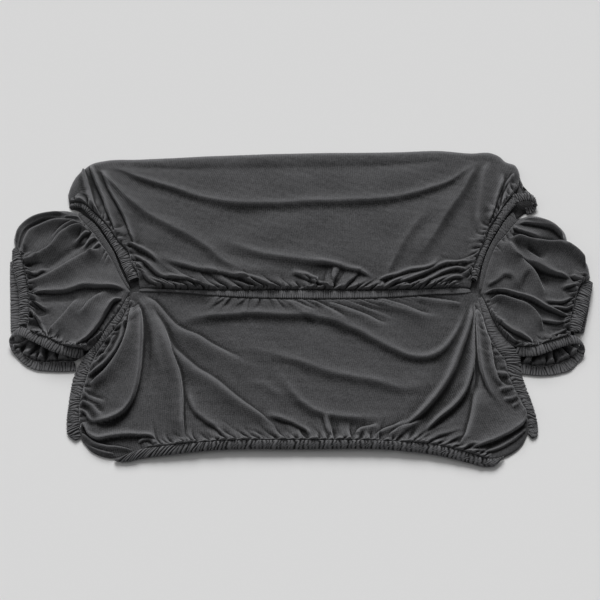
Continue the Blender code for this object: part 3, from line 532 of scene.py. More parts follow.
# Closed tube from rings of points, its two ends filled.  The flat map is the length along the
# band and the way round it.
def tubeMesh(name, grid, hollow, long, around):
    columns, rows = grid.shape[:2]
    i, j = np.meshgrid(np.arange(columns - 1), np.arange(rows), indexing="ij")
    corners = [(i, j), (i + 1, j), (i + 1, j + 1), (i, j + 1)]
    quads = np.stack([a * rows + b % rows for a, b in corners], axis=2).reshape(-1, 4)
    ends = np.arange(rows)
    faces = quads.tolist() + [ends[::-1].tolist(), (ends + (columns - 1) * rows).tolist()]
    u = np.stack([a for a, b in corners], axis=2).reshape(-1) / (columns - 1) * long
    v = np.stack([b for a, b in corners], axis=2).reshape(-1) / rows * around
    u = np.concatenate([u, np.zeros(rows), np.full(rows, long)])
    v = np.concatenate([v, ends[::-1] / rows * around, ends / rows * around])
    return clothMesh(name, grid.reshape(-1, 3), faces, np.stack([u, v], axis=1), hollow)


# How far each point lies below (up to 1) or above (down to -1) the mean of those around it: the
# mark of painted shade in hollows and creases, and of painted highlight on crests
def shadeAndHighlightMark(grid):
    height = grid[..., 2]
    mean = np.pad(height, 1, mode="edge")
    for _ in range(cloth["hollowPasses"]):
        mean[1:-1, 1:-1] = (mean[2:, 1:-1] + mean[:-2, 1:-1] + mean[1:-1, 2:]
                            + mean[1:-1, :-2]) / 4
    return np.clip((mean[1:-1, 1:-1] - height) / cloth["hollowDepth"], -1, 1)


# Closed sheet.  Its upper face is the grid; its lower face is every second column and row of
# that, moved down the normals by the cloth's thickness; five-cornered faces join the two.
def sheetMesh(name, grid, across, up, width, length, napAndPaintedLight):
    columns, rows = grid.shape[:2]
    normal = np.cross(np.gradient(grid, axis=0), np.gradient(grid, axis=1))
    normal /= np.linalg.norm(normal, axis=2)[..., None]
    lower = (grid - normal * cloth["thickness"])[::2, ::2]
    number = np.arange(columns * rows).reshape(columns, rows)
    below = columns * rows + np.arange(lower.shape[0] * lower.shape[1]).reshape(lower.shape[:2])
    top = np.stack([number[:-1, :-1], number[1:, :-1], number[1:, 1:], number[:-1, 1:]], axis=2)
    bottom = np.stack([below[:-1, :-1], below[:-1, 1:], below[1:, 1:], below[1:, :-1]], axis=2)
    ring, ringBelow = (np.concatenate([n[:-1, 0], n[-1, :-1], n[:0:-1, -1], n[0, :0:-1]])
                       for n in (number, below))
    start = np.arange(len(ringBelow)) * 2
    rimFaces = np.stack([ring[(start + 2) % len(ring)], ring[start + 1], ring[start],
                         ringBelow, np.roll(ringBelow, -1)], axis=1)
    faces = top.reshape(-1, 4).tolist() + bottom.reshape(-1, 4).tolist() + rimFaces.tolist()
    points = np.concatenate([grid.reshape(-1, 3), lower.reshape(-1, 3)])
    flat = np.stack(np.meshgrid(across * width, up * length, indexing="ij"), axis=2)
    flat = np.concatenate([flat.reshape(-1, 2), flat[::2, ::2].reshape(-1, 2)])
    corners = np.concatenate([top.ravel(), bottom.ravel(), rimFaces.ravel()])
    # Painted shade and highlight: the upper face is darkened in its hollows and lightened on its
    # crests, and lightened all over where painted light is asked; the lower face is painted in
    # shade
    hollow = np.concatenate([shadeAndHighlightMark(grid).ravel() - napAndPaintedLight,
                             np.full(below.size, cloth["underside"])])
    return clothMesh(name, points, faces, flat[corners], hollow)


pieces = {}


# The sheet as a piece, with the size of the grid along its two ways; where asked, the cloth is
# painted a little lighter all over, as painted light
def sheetPiece(name, grid, across, up, node, napAndPaintedLight=0):
    wide = np.linalg.norm(np.diff(grid, axis=0), axis=2).sum(0).mean() * cm
    tall = np.linalg.norm(np.diff(grid, axis=1), axis=2).sum(1).mean() * cm
    piece = bpy.data.objects.new(name, sheetMesh(name, grid, across, up, wide, tall, napAndPaintedLight))
    finishPiece(piece, [node], knit)
    pieces[name] = piece
    print(name, "laid,", len(piece.data.polygons), "faces")


# Even surface between four lines for the layers that lie below, with slow unevenness
def makeLowerPanel(name, node, sides, look):
    rng = np.random.default_rng(look["seed"])
    across = ladder(look["columns"], 0, 0)
    up = ladder(look["rows"], look["crowd"], 0)
    grid = stretchBetween(sides, across, up)
    points = grid.reshape(-1, 3)
    plan = points[:, :2].copy()
    points[:, 2] = look["rest"] + look["uneven"] * (1 + slowWaves(plan, look["wave"], rng)) / 2
    away, place, _, _ = nearestOnLine(plan, sides["bottom"])
    long = lineLength(sides["bottom"])
    for row in look["gathers"]:
        points[:, 2] += gatherRolls(place * long, away, long, row, rng)[0]
    points[:, 2] = np.clip(points[:, 2], look["rest"], look["highest"])
    sheetPiece(name, eased(grid), across, up, node)


# Spread of the ribs' widths, of how much they swell and of the depth of their grooves, as shares
ribShape = {"widths": (0.65, 1.4), "swell": (-0.25, 0.15), "groove": (0.55, 1.15), "spare": 4}


# Ribs at uneven steps along a band: how deep each place lies in the groove between two ribs,
# as one less a power of a half sine over each rib, and how much more or less that rib swells.
# Slanting ribs start before the band does, so a few are spare at each end.
def ribRow(place, pitch, power, rng):
    spare = ribShape["spare"]
    count = int(place.max() / pitch) + 3 * spare
    ribs = np.cumsum(pitch * rng.uniform(*ribShape["widths"], count))
    ribs -= ribs[spare]
    swell = rng.uniform(*ribShape["swell"], count)
    groove = rng.uniform(*ribShape["groove"], count)
    number = np.clip(np.searchsorted(ribs, place, side="right") - 1, 0, len(ribs) - 2)
    share = np.clip((place - ribs[number]) / (ribs[number + 1] - ribs[number]), 0, 1)
    puff = np.sin(np.pi * share)**power
    return groove[number + (share > 0.5)] * (1 - puff), swell[number] * puff


# Rings of a hollow end, from the lip inwards: size, depth in centimetres and painted shade
lipRings = ((0.86, -0.08, 0), (0.7, 0.05, 0.2), (0.62, 0.7, 0.9), (0.5, 1.8, 1))
# How the grooves swing; rates are in radians per centimetre along the band
ribWaves = {
    "wander": 2.1,           # rate of the short swings...
    "wanderAcross": 3,       # ...and how far they turn from the middle to an edge, in radians
    "sway": 0.9,             # rate of the long swings
    "breaks": ((0.5, 1.3), (0.35, 3.1)),  # size and rate of those where broken ribs change over
    "breakSlope": 1.3,       # how sharply they do
    "leastTaper": 0.02,      # share of its thickness that a closed end keeps
}


# Flattened tube carried along the middle of two edge lines.  Across it, a rounded oblong; its
# thickness falls to a groove between one rib and the next.  Broken ribs are one set on the
# inner half and another on the outer.  A hollow end turns back inside itself; a closed one is
# drawn together.
def ribbedTube(inner, outer, look):
    waves = ribWaves
    rng = np.random.default_rng(look["seed"])
    middle = (inner + outer) / 2
    long = lineLength(middle)
    count = int(long / look["step"]) + 1
    fractions = np.linspace(0, 1, count)
    inner = readLine(inner, fractions)
    outer = readLine(outer, fractions)
    middle = (inner + outer) / 2
    across = outer - inner
    wide = np.linalg.norm(across, axis=1)
    across /= wide[:, None]
    run = np.gradient(middle, axis=0)
    up = np.cross(run, across)
    up /= np.linalg.norm(up, axis=1)[:, None]
    up *= np.sign(up[0, 2])
    along = fractions * long
    angle = np.linspace(0, 2 * np.pi, look["sides"], endpoint=False)
    acrossShare = np.sign(np.cos(angle)) * np.abs(np.cos(angle))**look["squareAcross"]
    upShare = np.sign(np.sin(angle)) * np.abs(np.sin(angle))**look["squareUp"]
    tangent = run / np.linalg.norm(run, axis=1)[:, None]
    skew = (across * tangent).sum(1)
    slant = (np.interp(along / long, *zip(*look["slant"])) + skew)[:, None]
    wander = look["wander"] * np.sin(along * waves["wander"] + 1)[:, None] \
        * np.sin(waves["wanderAcross"] * acrossShare)[None]
    wander += look["sway"] * np.sin(along * waves["sway"] + look["seed"])[:, None] \
        * acrossShare[None]
    place = along[:, None] + slant * acrossShare[None] * wide[:, None] / 2 + wander * look["pitch"]
    low, puff = ribRow(place, look["pitch"], look["power"], rng)
    if look["broken"]:
        swing = sum(size * np.sin(along * rate)[:, None] for size, rate in waves["breaks"])
        blend = stepUp(0.5 + waves["breakSlope"] * (acrossShare[None] + swing))
        low2, puff2 = ribRow(place, look["pitch"] * look["second"], look["power"], rng)
        low = low + blend * (low2 - low)
        puff = puff + blend * (puff2 - puff)
    ribbed = np.interp(along / long, *zip(*look["ribbed"]))[:, None]
    low = low * ribbed
    thick = 1 + ribbed * puff - look["depth"] * low
    taper = np.minimum(along, long - along)[:, None] / look["ease"]
    taper = np.sqrt(np.clip(taper, waves["leastTaper"], 1)) if look["ends"] == "closed" \
        else np.ones((count, 1))
    half = look["thickness"] / 2 * np.interp(along / long, *zip(*look["body"]))[:, None]
    height = half * thick * upShare[None] * taper
    crown = look["crown"] * (1 - acrossShare[None]**2) * half * taper
    edgeWave = 1 - look["scallop"] * low * np.abs(acrossShare)[None]
    side = wide[:, None] / 2 * acrossShare[None] * edgeWave * np.sqrt(taper)
    grid = (middle[:, None] + across[:, None] * side[..., None]
            + up[:, None] * (height + crown)[..., None])
    # Painted shade in the grooves between the ribs and painted highlight on the ribs
    hollow = np.clip(look["dark"] * low - look["bright"] * ribbed, -1, 1) * look["shade"]
    if look["ends"] == "hollow":
        rows = []
        for end, way in ((0, 1), (-1, -1)):
            ring = grid[end]
            centre = ring.mean(0)
            back = way * run[end] / np.linalg.norm(run[end])
            rows.append(np.stack([centre + (ring - centre) * shrink + back * depth
                                  for shrink, depth, _ in lipRings]))
        grid = np.concatenate([rows[0][::-1], grid, rows[1]])
        lips = np.array([shade for _, _, shade in lipRings])[:, None] * np.ones(grid.shape[1])
        hollow = np.concatenate([lips[::-1], hollow, lips])
    frameLines = {"middle": middle, "across": across, "up": up, "wide": wide, "half": half[:, 0],
                  "long": long, "crown": look["crown"]}
    return grid, hollow, long, frameLines


plainLook = {
    "seed": 1, "step": 0.12, "sides": 24,     # step = from ring to ring, sides = round a ring
    "thickness": 0.85, "crown": 0.35,         # crown = rise of the middle, in half thicknesses
    "squareAcross": 0.75, "squareUp": 0.8,    # less is squarer
    "pitch": 0.95, "depth": 0.72, "power": 0.5,   # ribs: width, groove, roundness
    "wander": 0.16, "sway": 0.3,              # how far they swing in short and long waves
    "broken": False, "second": 0.8,           # pitch of the second set where they are broken
    "scallop": 0.14,                          # how far the grooves cut into the edges
    # dark and bright are the painted shade in the grooves and the painted highlight on the ribs;
    # shade scales both
    "shade": 1, "dark": 1.9, "bright": 0.35,  # shading: all, in the grooves, on the ribs
    "ends": "closed", "ease": 0.4,            # length over which a closed end draws together
    "slant": ((0, 0), (1, 0)), "ribbed": ((0, 1), (1, 1)), "body": ((0, 1), (1, 1)),
}
bandLines = {}


# Band between its seam and its free edge.  Flat, it is as long as its middle and as wide as
# half its surface shared out over that length.
def makeBand(name, node, inner, outer, slot="shirred_band", **changes):
    look = dict(plainLook, **changes)
    grid, hollow, long, frameLines = ribbedTube(inner, outer, look)
    if bandTurnsIn(grid):
        grid, hollow = grid[:, ::-1], hollow[:, ::-1]
    around = np.linalg.norm(np.diff(grid, axis=1), axis=2).sum(1).mean()
    mesh = tubeMesh(name, grid, hollow, long * cm, around * cm)
    piece = bpy.data.objects.new(name, mesh)
    finishPiece(piece, [node], shirred if slot == "shirred_band" else tape)
    pieces[name] = piece
    bandLines[name] = frameLines
    print(name, "made,", len(mesh.polygons), "faces")


# True where the rings run so that the faces would point inwards: the sign of the ring's area
# seen along the band
def bandTurnsIn(grid):
    first = len(grid) // 2
    ring = grid[first] - grid[first].mean(0)
    turn = np.cross(ring, np.roll(ring, -1, axis=0)).sum(0)
    return turn @ (grid[first + 1].mean(0) - grid[first].mean(0)) > 0


# Folds: height, half width on the left of the crest, half width on its right, crest points
seatFolds = (
    # the lobe at the left corner, and the ropes and puckers beside it
    (2.3, 1.1, 3.6, (-48, -3.5), (-46.5, -9), (-46, -15), (-46, -20.5), (-46, -26.5), (-46.5, -32),
     (-47.5, -36.5), (-49.5, -40), (-53, -42), (-58, -42)),
    (1.5, 2.2, 0.8, (-49, -5.5), (-49, -11), (-49.5, -16), (-51, -21), (-53, -25), (-56, -29),
     (-59.5, -32)),
    (1.3, 0.7, 0.8, (-50, -9), (-51, -12.5), (-51.2, -15.5), (-52.2, -18.5), (-53.7, -22),
     (-55.7, -25), (-59.5, -29)),
    (0.9, 0.6, 0.6, (-53, -15), (-53.7, -17.5), (-55.3, -21.5), (-57.5, -24.5), (-59.5, -26)),
    (0.8, 0.7, 0.9, (-60.5, -34.5), (-56.5, -36), (-53.5, -37)),
    (0.9, 0.7, 0.8, (-61.2, -37), (-58, -37.5), (-55.5, -40), (-53, -41)),
    (0.8, 0.6, 0.6, (-61.2, -40), (-59, -40), (-57.5, -42), (-56.5, -43)),
    (1.5, 1.7, 0.7, (-60.8, -43.5), (-59, -44), (-57, -46.5), (-55, -47.5), (-52, -47),
     (-48.5, -46.5), (-44, -46.5), (-41, -47), (-38.5, -49)),
    (0.8, 0.5, 0.8, (-60.5, -45.5), (-58.5, -47), (-56, -49), (-53, -50), (-48.5, -50.5),
     (-45, -51.3)),
    (0.5, 0.5, 0.6, (-60, -47.5), (-57.5, -50), (-53.5, -51.6), (-50, -52.2)),
    (0.7, 0.8, 0.6, (-44, -49), (-42.5, -48), (-40.5, -48.5), (-40, -50)),
    (-0.5, 1.4, 1.4, (-45, -8), (-43.3, -14), (-42.6, -22), (-42.8, -30), (-44.5, -37)),
    # folds that spread from the left corner
    (0.8, 3.6, 1.5, (-48, -1.5), (-46, -4), (-43.5, -8.5), (-41.5, -14), (-40, -20.5),
     (-38.5, -26), (-37.5, -31.5), (-37, -37)),
    (1.6, 0.9, 3.2, (-41.5, -6.5), (-39.5, -14), (-37, -22), (-34.5, -28), (-33.5, -33.5),
     (-33, -38.5), (-32.5, -43.5), (-31.5, -47.8)),
    (1.0, 2.2, 1.05, (-31, -29), (-30.5, -32.5), (-30, -35.5), (-28.5, -39), (-26, -41.5),
     (-23, -44), (-20.5, -47.5)),
    (1.2, 1.2, 2.6, (-44.5, -4), (-40.5, -12), (-36.5, -20), (-32.5, -24), (-29, -27), (-26, -29),
     (-19.5, -34.5), (-10.5, -41.5), (-6, -45.5)),
    (1.0, 1.0, 2.8, (-46.5, -1.5), (-42.5, -4.5), (-39, -9), (-36, -12.5), (-33, -14.5),
     (-29.5, -16), (-26.5, -18), (-20, -22), (-10, -27.5)),
    (1.15, 2.6, 1.4, (-41, -12.5), (-36, -10.5), (-32.5, -9.5), (-27, -8.5), (-22, -8),
     (-15, -7.5), (-4.5, -8), (4.5, -8.5), (8.5, -9.5), (13, -11.5), (16.5, -13), (22.5, -17),
     (27.5, -20), (32.5, -22), (36.5, -22), (39.5, -20.5), (42, -18), (44.5, -14), (47, -8.5),
     (49.5, -4)),
    # the middle
    (0.9, 2.6, 1.6, (-18.5, -15), (-12.5, -19), (-7, -21), (0.5, -23.5), (9.5, -27), (21, -29.5),
     (29, -31.5), (35, -30.5), (41.5, -28)),
    (1.1, 2.0, 1.4, (-6.5, -24), (-3, -31), (0.5, -36), (5.5, -39.5), (12, -41), (20.5, -41),
     (27.5, -39.5)),
    (1.0, 1.6, 0.9, (-11, -39.5), (-6, -41), (-1, -43), (2, -45.5), (2.5, -48)),
    (0.8, 0.8, 2.0, (7.5, -4), (13, -6.5), (20, -9.5), (23.5, -11.5), (28, -12)),
    (0.8, 0.9, 2.0, (21.5, -3), (30, -6), (36.5, -8.5), (41.5, -9)),
    (0.6, 0.8, 1.4, (33.5, -2.5), (43.5, -4), (47.5, -4.5)),
    (0.7, 0.8, 1.6, (3, -3.5), (10, -8), (15, -11.5)),
    (0.7, 0.8, 1.6, (-4.5, -3.5), (1, -6), (5.5, -8.5)),
    (1.0, 0.8, 1.3, (20, -47.5), (22, -46), (26.5, -44), (30, -42)),
    (1.1, 0.8, 1.4, (23.5, -47.5), (28, -45), (31.5, -43.5), (34.5, -40.5)),
    (0.9, 0.8, 1.1, (15, -47), (16, -45.5), (19.5, -44.5), (22, -43.5)),
    (0.9, 0.9, 0.9, (7, -39.5), (7.5, -43.5), (8, -47)),
    (0.4, 2.0, 1.6, (-16, -28), (-8, -32), (-2, -37)),
    # folds that spread from the right corner
    (2.0, 1.1, 1.9, (50, -4), (48, -12.5), (45, -20.5), (41.5, -28.5), (36.5, -36), (31.5, -41.5),
     (25.5, -45.5)),
    (1.8, 0.7, 1.7, (51, -3.5), (50, -11), (49.3, -17), (48.6, -24), (47.2, -29), (45.2, -34),
     (42, -38), (38, -41.5), (33, -46.5)),
    (-0.9, 0.7, 0.7, (50.3, -9), (50.2, -15), (50, -22), (49.9, -28), (48.8, -33), (46.5, -38)),
    (1.7, 1.8, 0.7, (51.4, -5), (51.4, -9), (51.4, -15), (51.3, -21.5), (52, -28.5), (53.5, -33.5),
     (56.5, -37.5)),
    (1.1, 0.7, 1.0, (52.5, -7.5), (53.4, -14), (54, -21), (54.5, -26.5), (56, -30.5), (58.5, -32)),
    (1.3, 3.4, 0.9, (49.5, -30), (49.2, -34), (48.2, -39.5), (47, -43.5), (45.5, -47), (43, -50)),
    (1.7, 0.7, 3, (61.5, -36), (62, -40), (61, -42.5), (58, -45), (53.5, -47.3), (48.5, -49.5),
     (45, -51)),
    (0.7, 0.6, 0.7, (62.4, -44), (60, -46.3), (56.5, -48.8), (52.5, -50.8), (48.5, -52)),
    (0.8, 0.6, 0.6, (54.5, -27), (56, -27.5), (58.6, -29)),
    (0.8, 0.6, 0.6, (55, -32.8), (58, -32.6), (60, -33)),
    (0.8, 0.6, 0.6, (56, -35.5), (59, -35.5), (61, -35)),
    (0.7, 0.6, 0.6, (58.5, -38), (60.5, -37), (62, -36.6)),
)

seatPanel = {
    "node": "seat_panel", "seed": 11, "columns": 561, "rows": 139, "crowd": (2.4, 0.5),
    "bottom": ("seat front",), "top": ("seat top",), "left": ("seat left",),
    "right": ("seat right",), "tuck": {"bottom": 0.15, "top": 0.2, "left": 0.2, "right": 0.2},
    "lowest": 0.3, "highest": 4.9, "relief": 1.08, "rest": 1.1, "reach": (4, 3, 3, 3),
    "border": 0.9, "slack": 1.2, "wave": 15,
    "folds": seatFolds,
    "gathers": (
        gatherRow("bottom", 2.3, 1.2, 5.4, 0.25, (0.13, 0.9), ((0, -0.2), (0.25, -0.4),
            (0.42, -1.0), (0.5, -0.3), (0.58, 0.2), (0.75, 1.0), (0.88, 1.5), (1, 1.5))),
        gatherRow("bottom", 1.3, 0.75, 2.3, 0.12, (0.14, 0.91), ((0, -0.3), (0.4, -0.7),
            (0.6, 0.4), (1, 1))),
        gatherRow("left", 2.2, 0.8, 3.4, 0.3, (0.06, 0.95), ((0, 0.2), (0.35, 0.4), (0.6, 1.5),
            (1, 1.8))),
        gatherRow("left", 1, 0.65, 1.7, 0.2, (0.04, 0.96), ((0, 0), (1, 0.6))),
        gatherRow("right", 1.9, 0.5, 3.4, 0.3, (0.08, 0.95), ((0, 0.2), (0.35, 0.7), (0.6, 1.5),
            (1, 1.8))),
        gatherRow("right", 1, 0.5, 1.7, 0.2, (0.04, 0.96), ((0, 0), (1, 0.6))),
        gatherRow("top", 2.1, 0.5, 5.5, 0.5, (0.2, 0.85), ((0, -1.2), (0.32, -0.8), (0.4, 0.6),
            (0.47, 2.4), (0.7, 2.4), (1, 2)), 0.3),
    ),
}

backFolds = (
    (1.15, 3.2, 1.6, (-62.5, 46.5), (-56.5, 44.5), (-50.5, 41.5), (-40, 37.5), (-29.5, 33.5),
     (-20, 31.5), (-9.5, 31.5), (0, 32), (14.5, 32.5), (24, 33), (33.5, 35), (40, 37), (46.5, 40),
     (51.5, 44), (56.5, 47.5), (60.5, 48.5)),
    (-0.5, 2.1, 2.6, (-58, 46.4), (-37.5, 45), (-12.5, 45.5), (12.5, 46), (37.5, 47.5), (50, 49)),
    (1.3, 2.8, 1.7, (-64, 45.5), (-58.5, 39.5), (-50.5, 31), (-45, 26.5), (-39.5, 23),
     (-33.5, 19.5), (-27.5, 15), (-22.5, 10), (-16.5, 7), (-9.5, 6.5), (-2.5, 6.5)),
    (1.3, 1.7, 0.8, (-62.5, 45), (-60.5, 41), (-58.5, 36.5), (-55.5, 31), (-52.5, 25), (-50.5, 19),
     (-49, 15)),
    (1.2, 2.6, 1.8, (-29, 21.5), (-20.5, 16.5), (-11.5, 13), (-2.5, 11), (10, 9), (18, 7)),
    (1.6, 1.8, 3.0, (57, 48.5), (53.5, 43), (50.5, 37), (47.5, 32), (44, 26.5), (38.5, 17),
     (32, 8)),
    (0.9, 1.7, 2.4, (42, 33), (34, 22.5), (29.5, 14.5), (26, 6.5), (24.5, 3)),
    (1.0, 2.6, 1.8, (60, 48.5), (58, 44), (56.5, 37.5), (55, 29.5), (53.5, 21.5)),
    (1.7, 0.7, 1.4, (63.5, 44), (62.5, 39.5), (60.5, 34), (58.5, 28), (56.5, 22)),
    (1.3, 0.7, 0.7, (67, 43), (64.5, 38.5), (63, 33.5), (62, 30)),
    (-1.1, 0.5, 0.5, (65, 39.5), (62.5, 34), (60.5, 28), (59, 24.5)),
    (1.7, 1.5, 0.8, (-66, 47), (-64.5, 43), (-62.5, 38.5), (-60, 33), (-58, 27.5), (-56, 22.5),
     (-55, 18.5)),
    (1.5, 0.8, 0.9, (-68.5, 46.5), (-67.5, 42.5), (-65.5, 36), (-63.5, 30.5), (-61, 26)),
    (0.6, 0.7, 0.9, (32, 2), (27.5, 0), (22, -0.5)),
    (1.4, 1.3, 0.8, (22, 3), (27, 4.5), (32, 6.5), (38.5, 8), (41, 11), (43.5, 13.5)),
    (1.6, 0.8, 1.4, (51, 9), (47, 9), (43.5, 9), (37.5, 6), (32, 3.5), (27.5, 2), (23.5, 0)),
    (1.3, 0.7, 1.1, (50, 6), (46, 7), (42.5, 6), (39, 4), (35, 1.5), (32, 0)),
    (1.0, 0.7, 0.9, (48.5, 4), (46, 4), (43.5, 3.5), (40.5, 2), (39, 0)),
    (1.2, 1.6, 1.1, (0, 10), (5.5, 9.5), (11, 8.5), (15, 7), (18.5, 6), (22, 3.5)),
    (1.2, 0.9, 0.8, (-1, 6), (2, 5), (4.5, 3), (7, 1), (8, 0)),
    (0.9, 1.1, 0.9, (11, 8.5), (10, 5), (10, 1)),
    (1.3, 1.1, 0.7, (-52, 16), (-47, 14), (-43, 11), (-40.5, 7.5)),
    (1.3, 1.9, 1.1, (-44.5, 15), (-42, 13), (-38.5, 10.5), (-35, 9), (-31, 7.5), (-26, 6.5),
     (-21.5, 5.5), (-16.5, 3.5), (-14, 2), (-11.5, 0)),
    (1.4, 1.2, 0.8, (-50.5, 12.5), (-45.5, 9), (-43, 6.5), (-40.5, 4.5), (-37, 4), (-33.5, 3),
     (-28.5, 1), (-25.5, -0.5)),
    (1.1, 0.9, 0.8, (-48.5, 9), (-46.5, 6), (-44.5, 3.5), (-42, 1.5), (-39.5, 0)),
    (1.1, 0.8, 0.8, (-21.5, 5), (-18, 4.5), (-14.5, 4), (-11.5, 2.5), (-9.5, 1), (-7, -0.5)),
    (1.3, 1.2, 0.9, (-3.5, 6.5), (-0.5, 5.5), (1.5, 4), (3.5, 2.5), (4.5, 0.5)),
)

backPanel = {
    "node": "back_front_panel", "seed": 23, "columns": 561, "rows": 139, "crowd": (2.4, 0.3),
    "bottom": ("back bottom",), "top": ("back top",), "left": ("back left",),
    "right": ("back right",), "tuck": {"bottom": 0.1, "left": 0.2, "right": 0.2}, "lowest": 0.45,
    "highest": 4.9, "relief": 0.98, "rest": 2.2, "reach": (3, 2.2, 3, 3), "border": 0.9,
    "slack": 1.2, "wave": 15,
    "folds": backFolds,
    "gathers": (
        gatherRow("bottom", 2.4, 1.25, 5.6, 0.5, (0.02, 0.98), ((0, -1.8), (0.25, -1.5),
            (0.42, -0.8), (0.5, 0), (0.6, 0.8), (0.8, 1.8), (1, 1.8))),
        gatherRow("bottom", 1.3, 0.75, 2.4, 0.25, (0.02, 0.98), ((0, -1.2), (0.4, -0.6),
            (0.6, 0.5), (1, 1))),
        gatherRow("left", 1.7, 1.1, 3.8, 0.3, (0.05, 0.92), ((0, -0.9), (0.3, -0.6), (0.55, 0.9),
            (1, 1.5))),
        gatherRow("left", 1, 0.65, 1.7, 0.2, (0.04, 0.95), ((0, 0), (1, 0.6))),
        gatherRow("right", 1.7, 1.1, 3.8, 0.3, (0.05, 0.95), ((0, -0.9), (0.3, -0.6), (0.55, 0.9),
            (1, 1.5))),
        gatherRow("right", 1, 0.65, 1.7, 0.2, (0.04, 0.95), ((0, 0), (1, 0.6))),
    ),
}

leftArmFolds = (
    # the top
    (0.8, 0.7, 0.9, (-85.5, 15), (-85.5, 18.5), (-84.5, 22.5), (-81.5, 25.5), (-76, 27),
     (-71, 27.3)),
    (1.3, 0.8, 2.0, (-82.5, 12), (-82, 17), (-81, 20), (-78, 22), (-74.5, 23.5), (-70.5, 23.7),
     (-66, 23)),
    (1.5, 0.7, 2.2, (-82, 7.5), (-77.5, 11.5), (-74, 14.5), (-72.5, 17), (-70, 19.8),
     (-67.5, 21.2), (-63.5, 20.6)),
    (0.9, 0.6, 1.7, (-74.5, 16.5), (-74, 18.5), (-73, 20), (-71.5, 21.5), (-69, 22.5),
     (-65, 22.5)),
    # the middle
    (0.8, 0.7, 0.7, (-80.3, 3), (-78.5, 4.5), (-76, 6.5), (-73.5, 6.5)),
    (1.3, 0.8, 3.0, (-80, -0.8), (-77, 1.5), (-73.5, 4), (-69, 7.5), (-64.5, 11), (-59.5, 13.8)),
    (1.15, 1.8, 1.1, (-79.3, -3.5), (-76, -2), (-71, -1), (-66.5, 0), (-63.5, 1), (-58.5, 1),
     (-54, 0.5), (-50.5, 0)),
    (0.8, 0.8, 0.6, (-78.6, -6.5), (-75.5, -6.3), (-72, -8)),
    # the front
    (1.1, 0.8, 2.4, (-72.3, -15.8), (-69.5, -12.5), (-67.5, -9.5), (-66, -6.5), (-65, -4.5),
     (-63.5, -2)),
    (0.7, 0.9, 1.4, (-65, -10), (-62.5, -8), (-61, -5), (-58.5, -2.5), (-55.5, -1)),
    (1.0, 0.6, 0.6, (-78, -9.5), (-75.5, -11), (-73.5, -13.5), (-72.3, -17)),
    (1.5, 0.7, 1.6, (-51.5, -3), (-54.3, -4.5), (-56.3, -8), (-57.5, -11), (-59.5, -15),
     (-61.5, -17.5), (-64, -19)),
    (1.0, 0.6, 0.6, (-52, -7.5), (-53.7, -10.5), (-56, -14.3), (-58, -17), (-61, -19)),
    # troughs
    (-0.45, 1.3, 1.6, (-79, 4), (-74, 8.5), (-70, 12), (-66, 15.5), (-63, 16.5)),
    (-0.3, 1.2, 1.3, (-76, -5), (-71, -4), (-66, -3.5), (-60, -2)),
    (-0.45, 0.7, 0.8, (-84.5, 13), (-83.8, 17.5), (-82.5, 21.5), (-79, 24.3), (-73, 25.3)),
    # pleats below the slit tape
    (0.6, 0.5, 0.5, (-65.5, 26), (-68.5, 26), (-72, 26)),
    (0.8, 0.5, 0.6, (-62.5, 20.5), (-65.5, 18.5), (-68, 15)),
    (0.7, 0.5, 0.6, (-60.8, 18), (-63, 16.3), (-65.5, 13.5)),
    (0.6, 0.5, 0.6, (-59.5, 15.8), (-61.5, 14), (-63.5, 11.5)),
)

leftArmPanel = {
    "node": "arm_left_upper_panel", "seed": 31, "columns": 201, "rows": 281, "crowd": (1.4, 0.2),
    "bottom": ("left mouth",), "top": ("left top",), "left": ("left outer",),
    "right": ("left seat", "left slit"), "tuck": {"bottom": 0.15, "left": 0.15, "right": 0.15},
    "lowest": 0.45, "highest": 4.95, "relief": 1.4, "rest": 2.4, "reach": (3, 2.6, 3, 3),
    # Painted light: the left arm's cloth is lightened all over, as if the light fell more on it
    "napAndPaintedLight": 0.25, "border": 0.7, "slack": 2, "wave": 9,
    "folds": leftArmFolds,
    "gathers": (
        gatherRow("bottom", 1.7, 1.3, 3.2, 0.2, (0.03, 0.97), ((0, 0), (0.5, 0.3), (1, 0.6)), 0.7),
        gatherRow("bottom", 1, 1.1, 2.1, 0.15, (0.03, 0.97), ((0, 0), (1, 0.3)), 0.8),
        gatherRow("left", 2.2, 1.3, 4.2, 0.25, (0.03, 0.8), ((0, 0.1), (1, 0.4)), 0.7),
        gatherRow("left", 1.1, 1.15, 2.1, 0.15, (0.03, 0.85), ((0, 0), (1, 0.3)), 0.9),
        gatherRow("right", 1.5, 0.85, 3.4, 0.3, (0.66, 0.95), ((0, -0.8), (1, -0.6))),
        gatherRow("right", 1.3, 0.5, 1.8, 0.3, (0.03, 0.45), ((0, 0.4), (1, 0.8))),
    ),
}

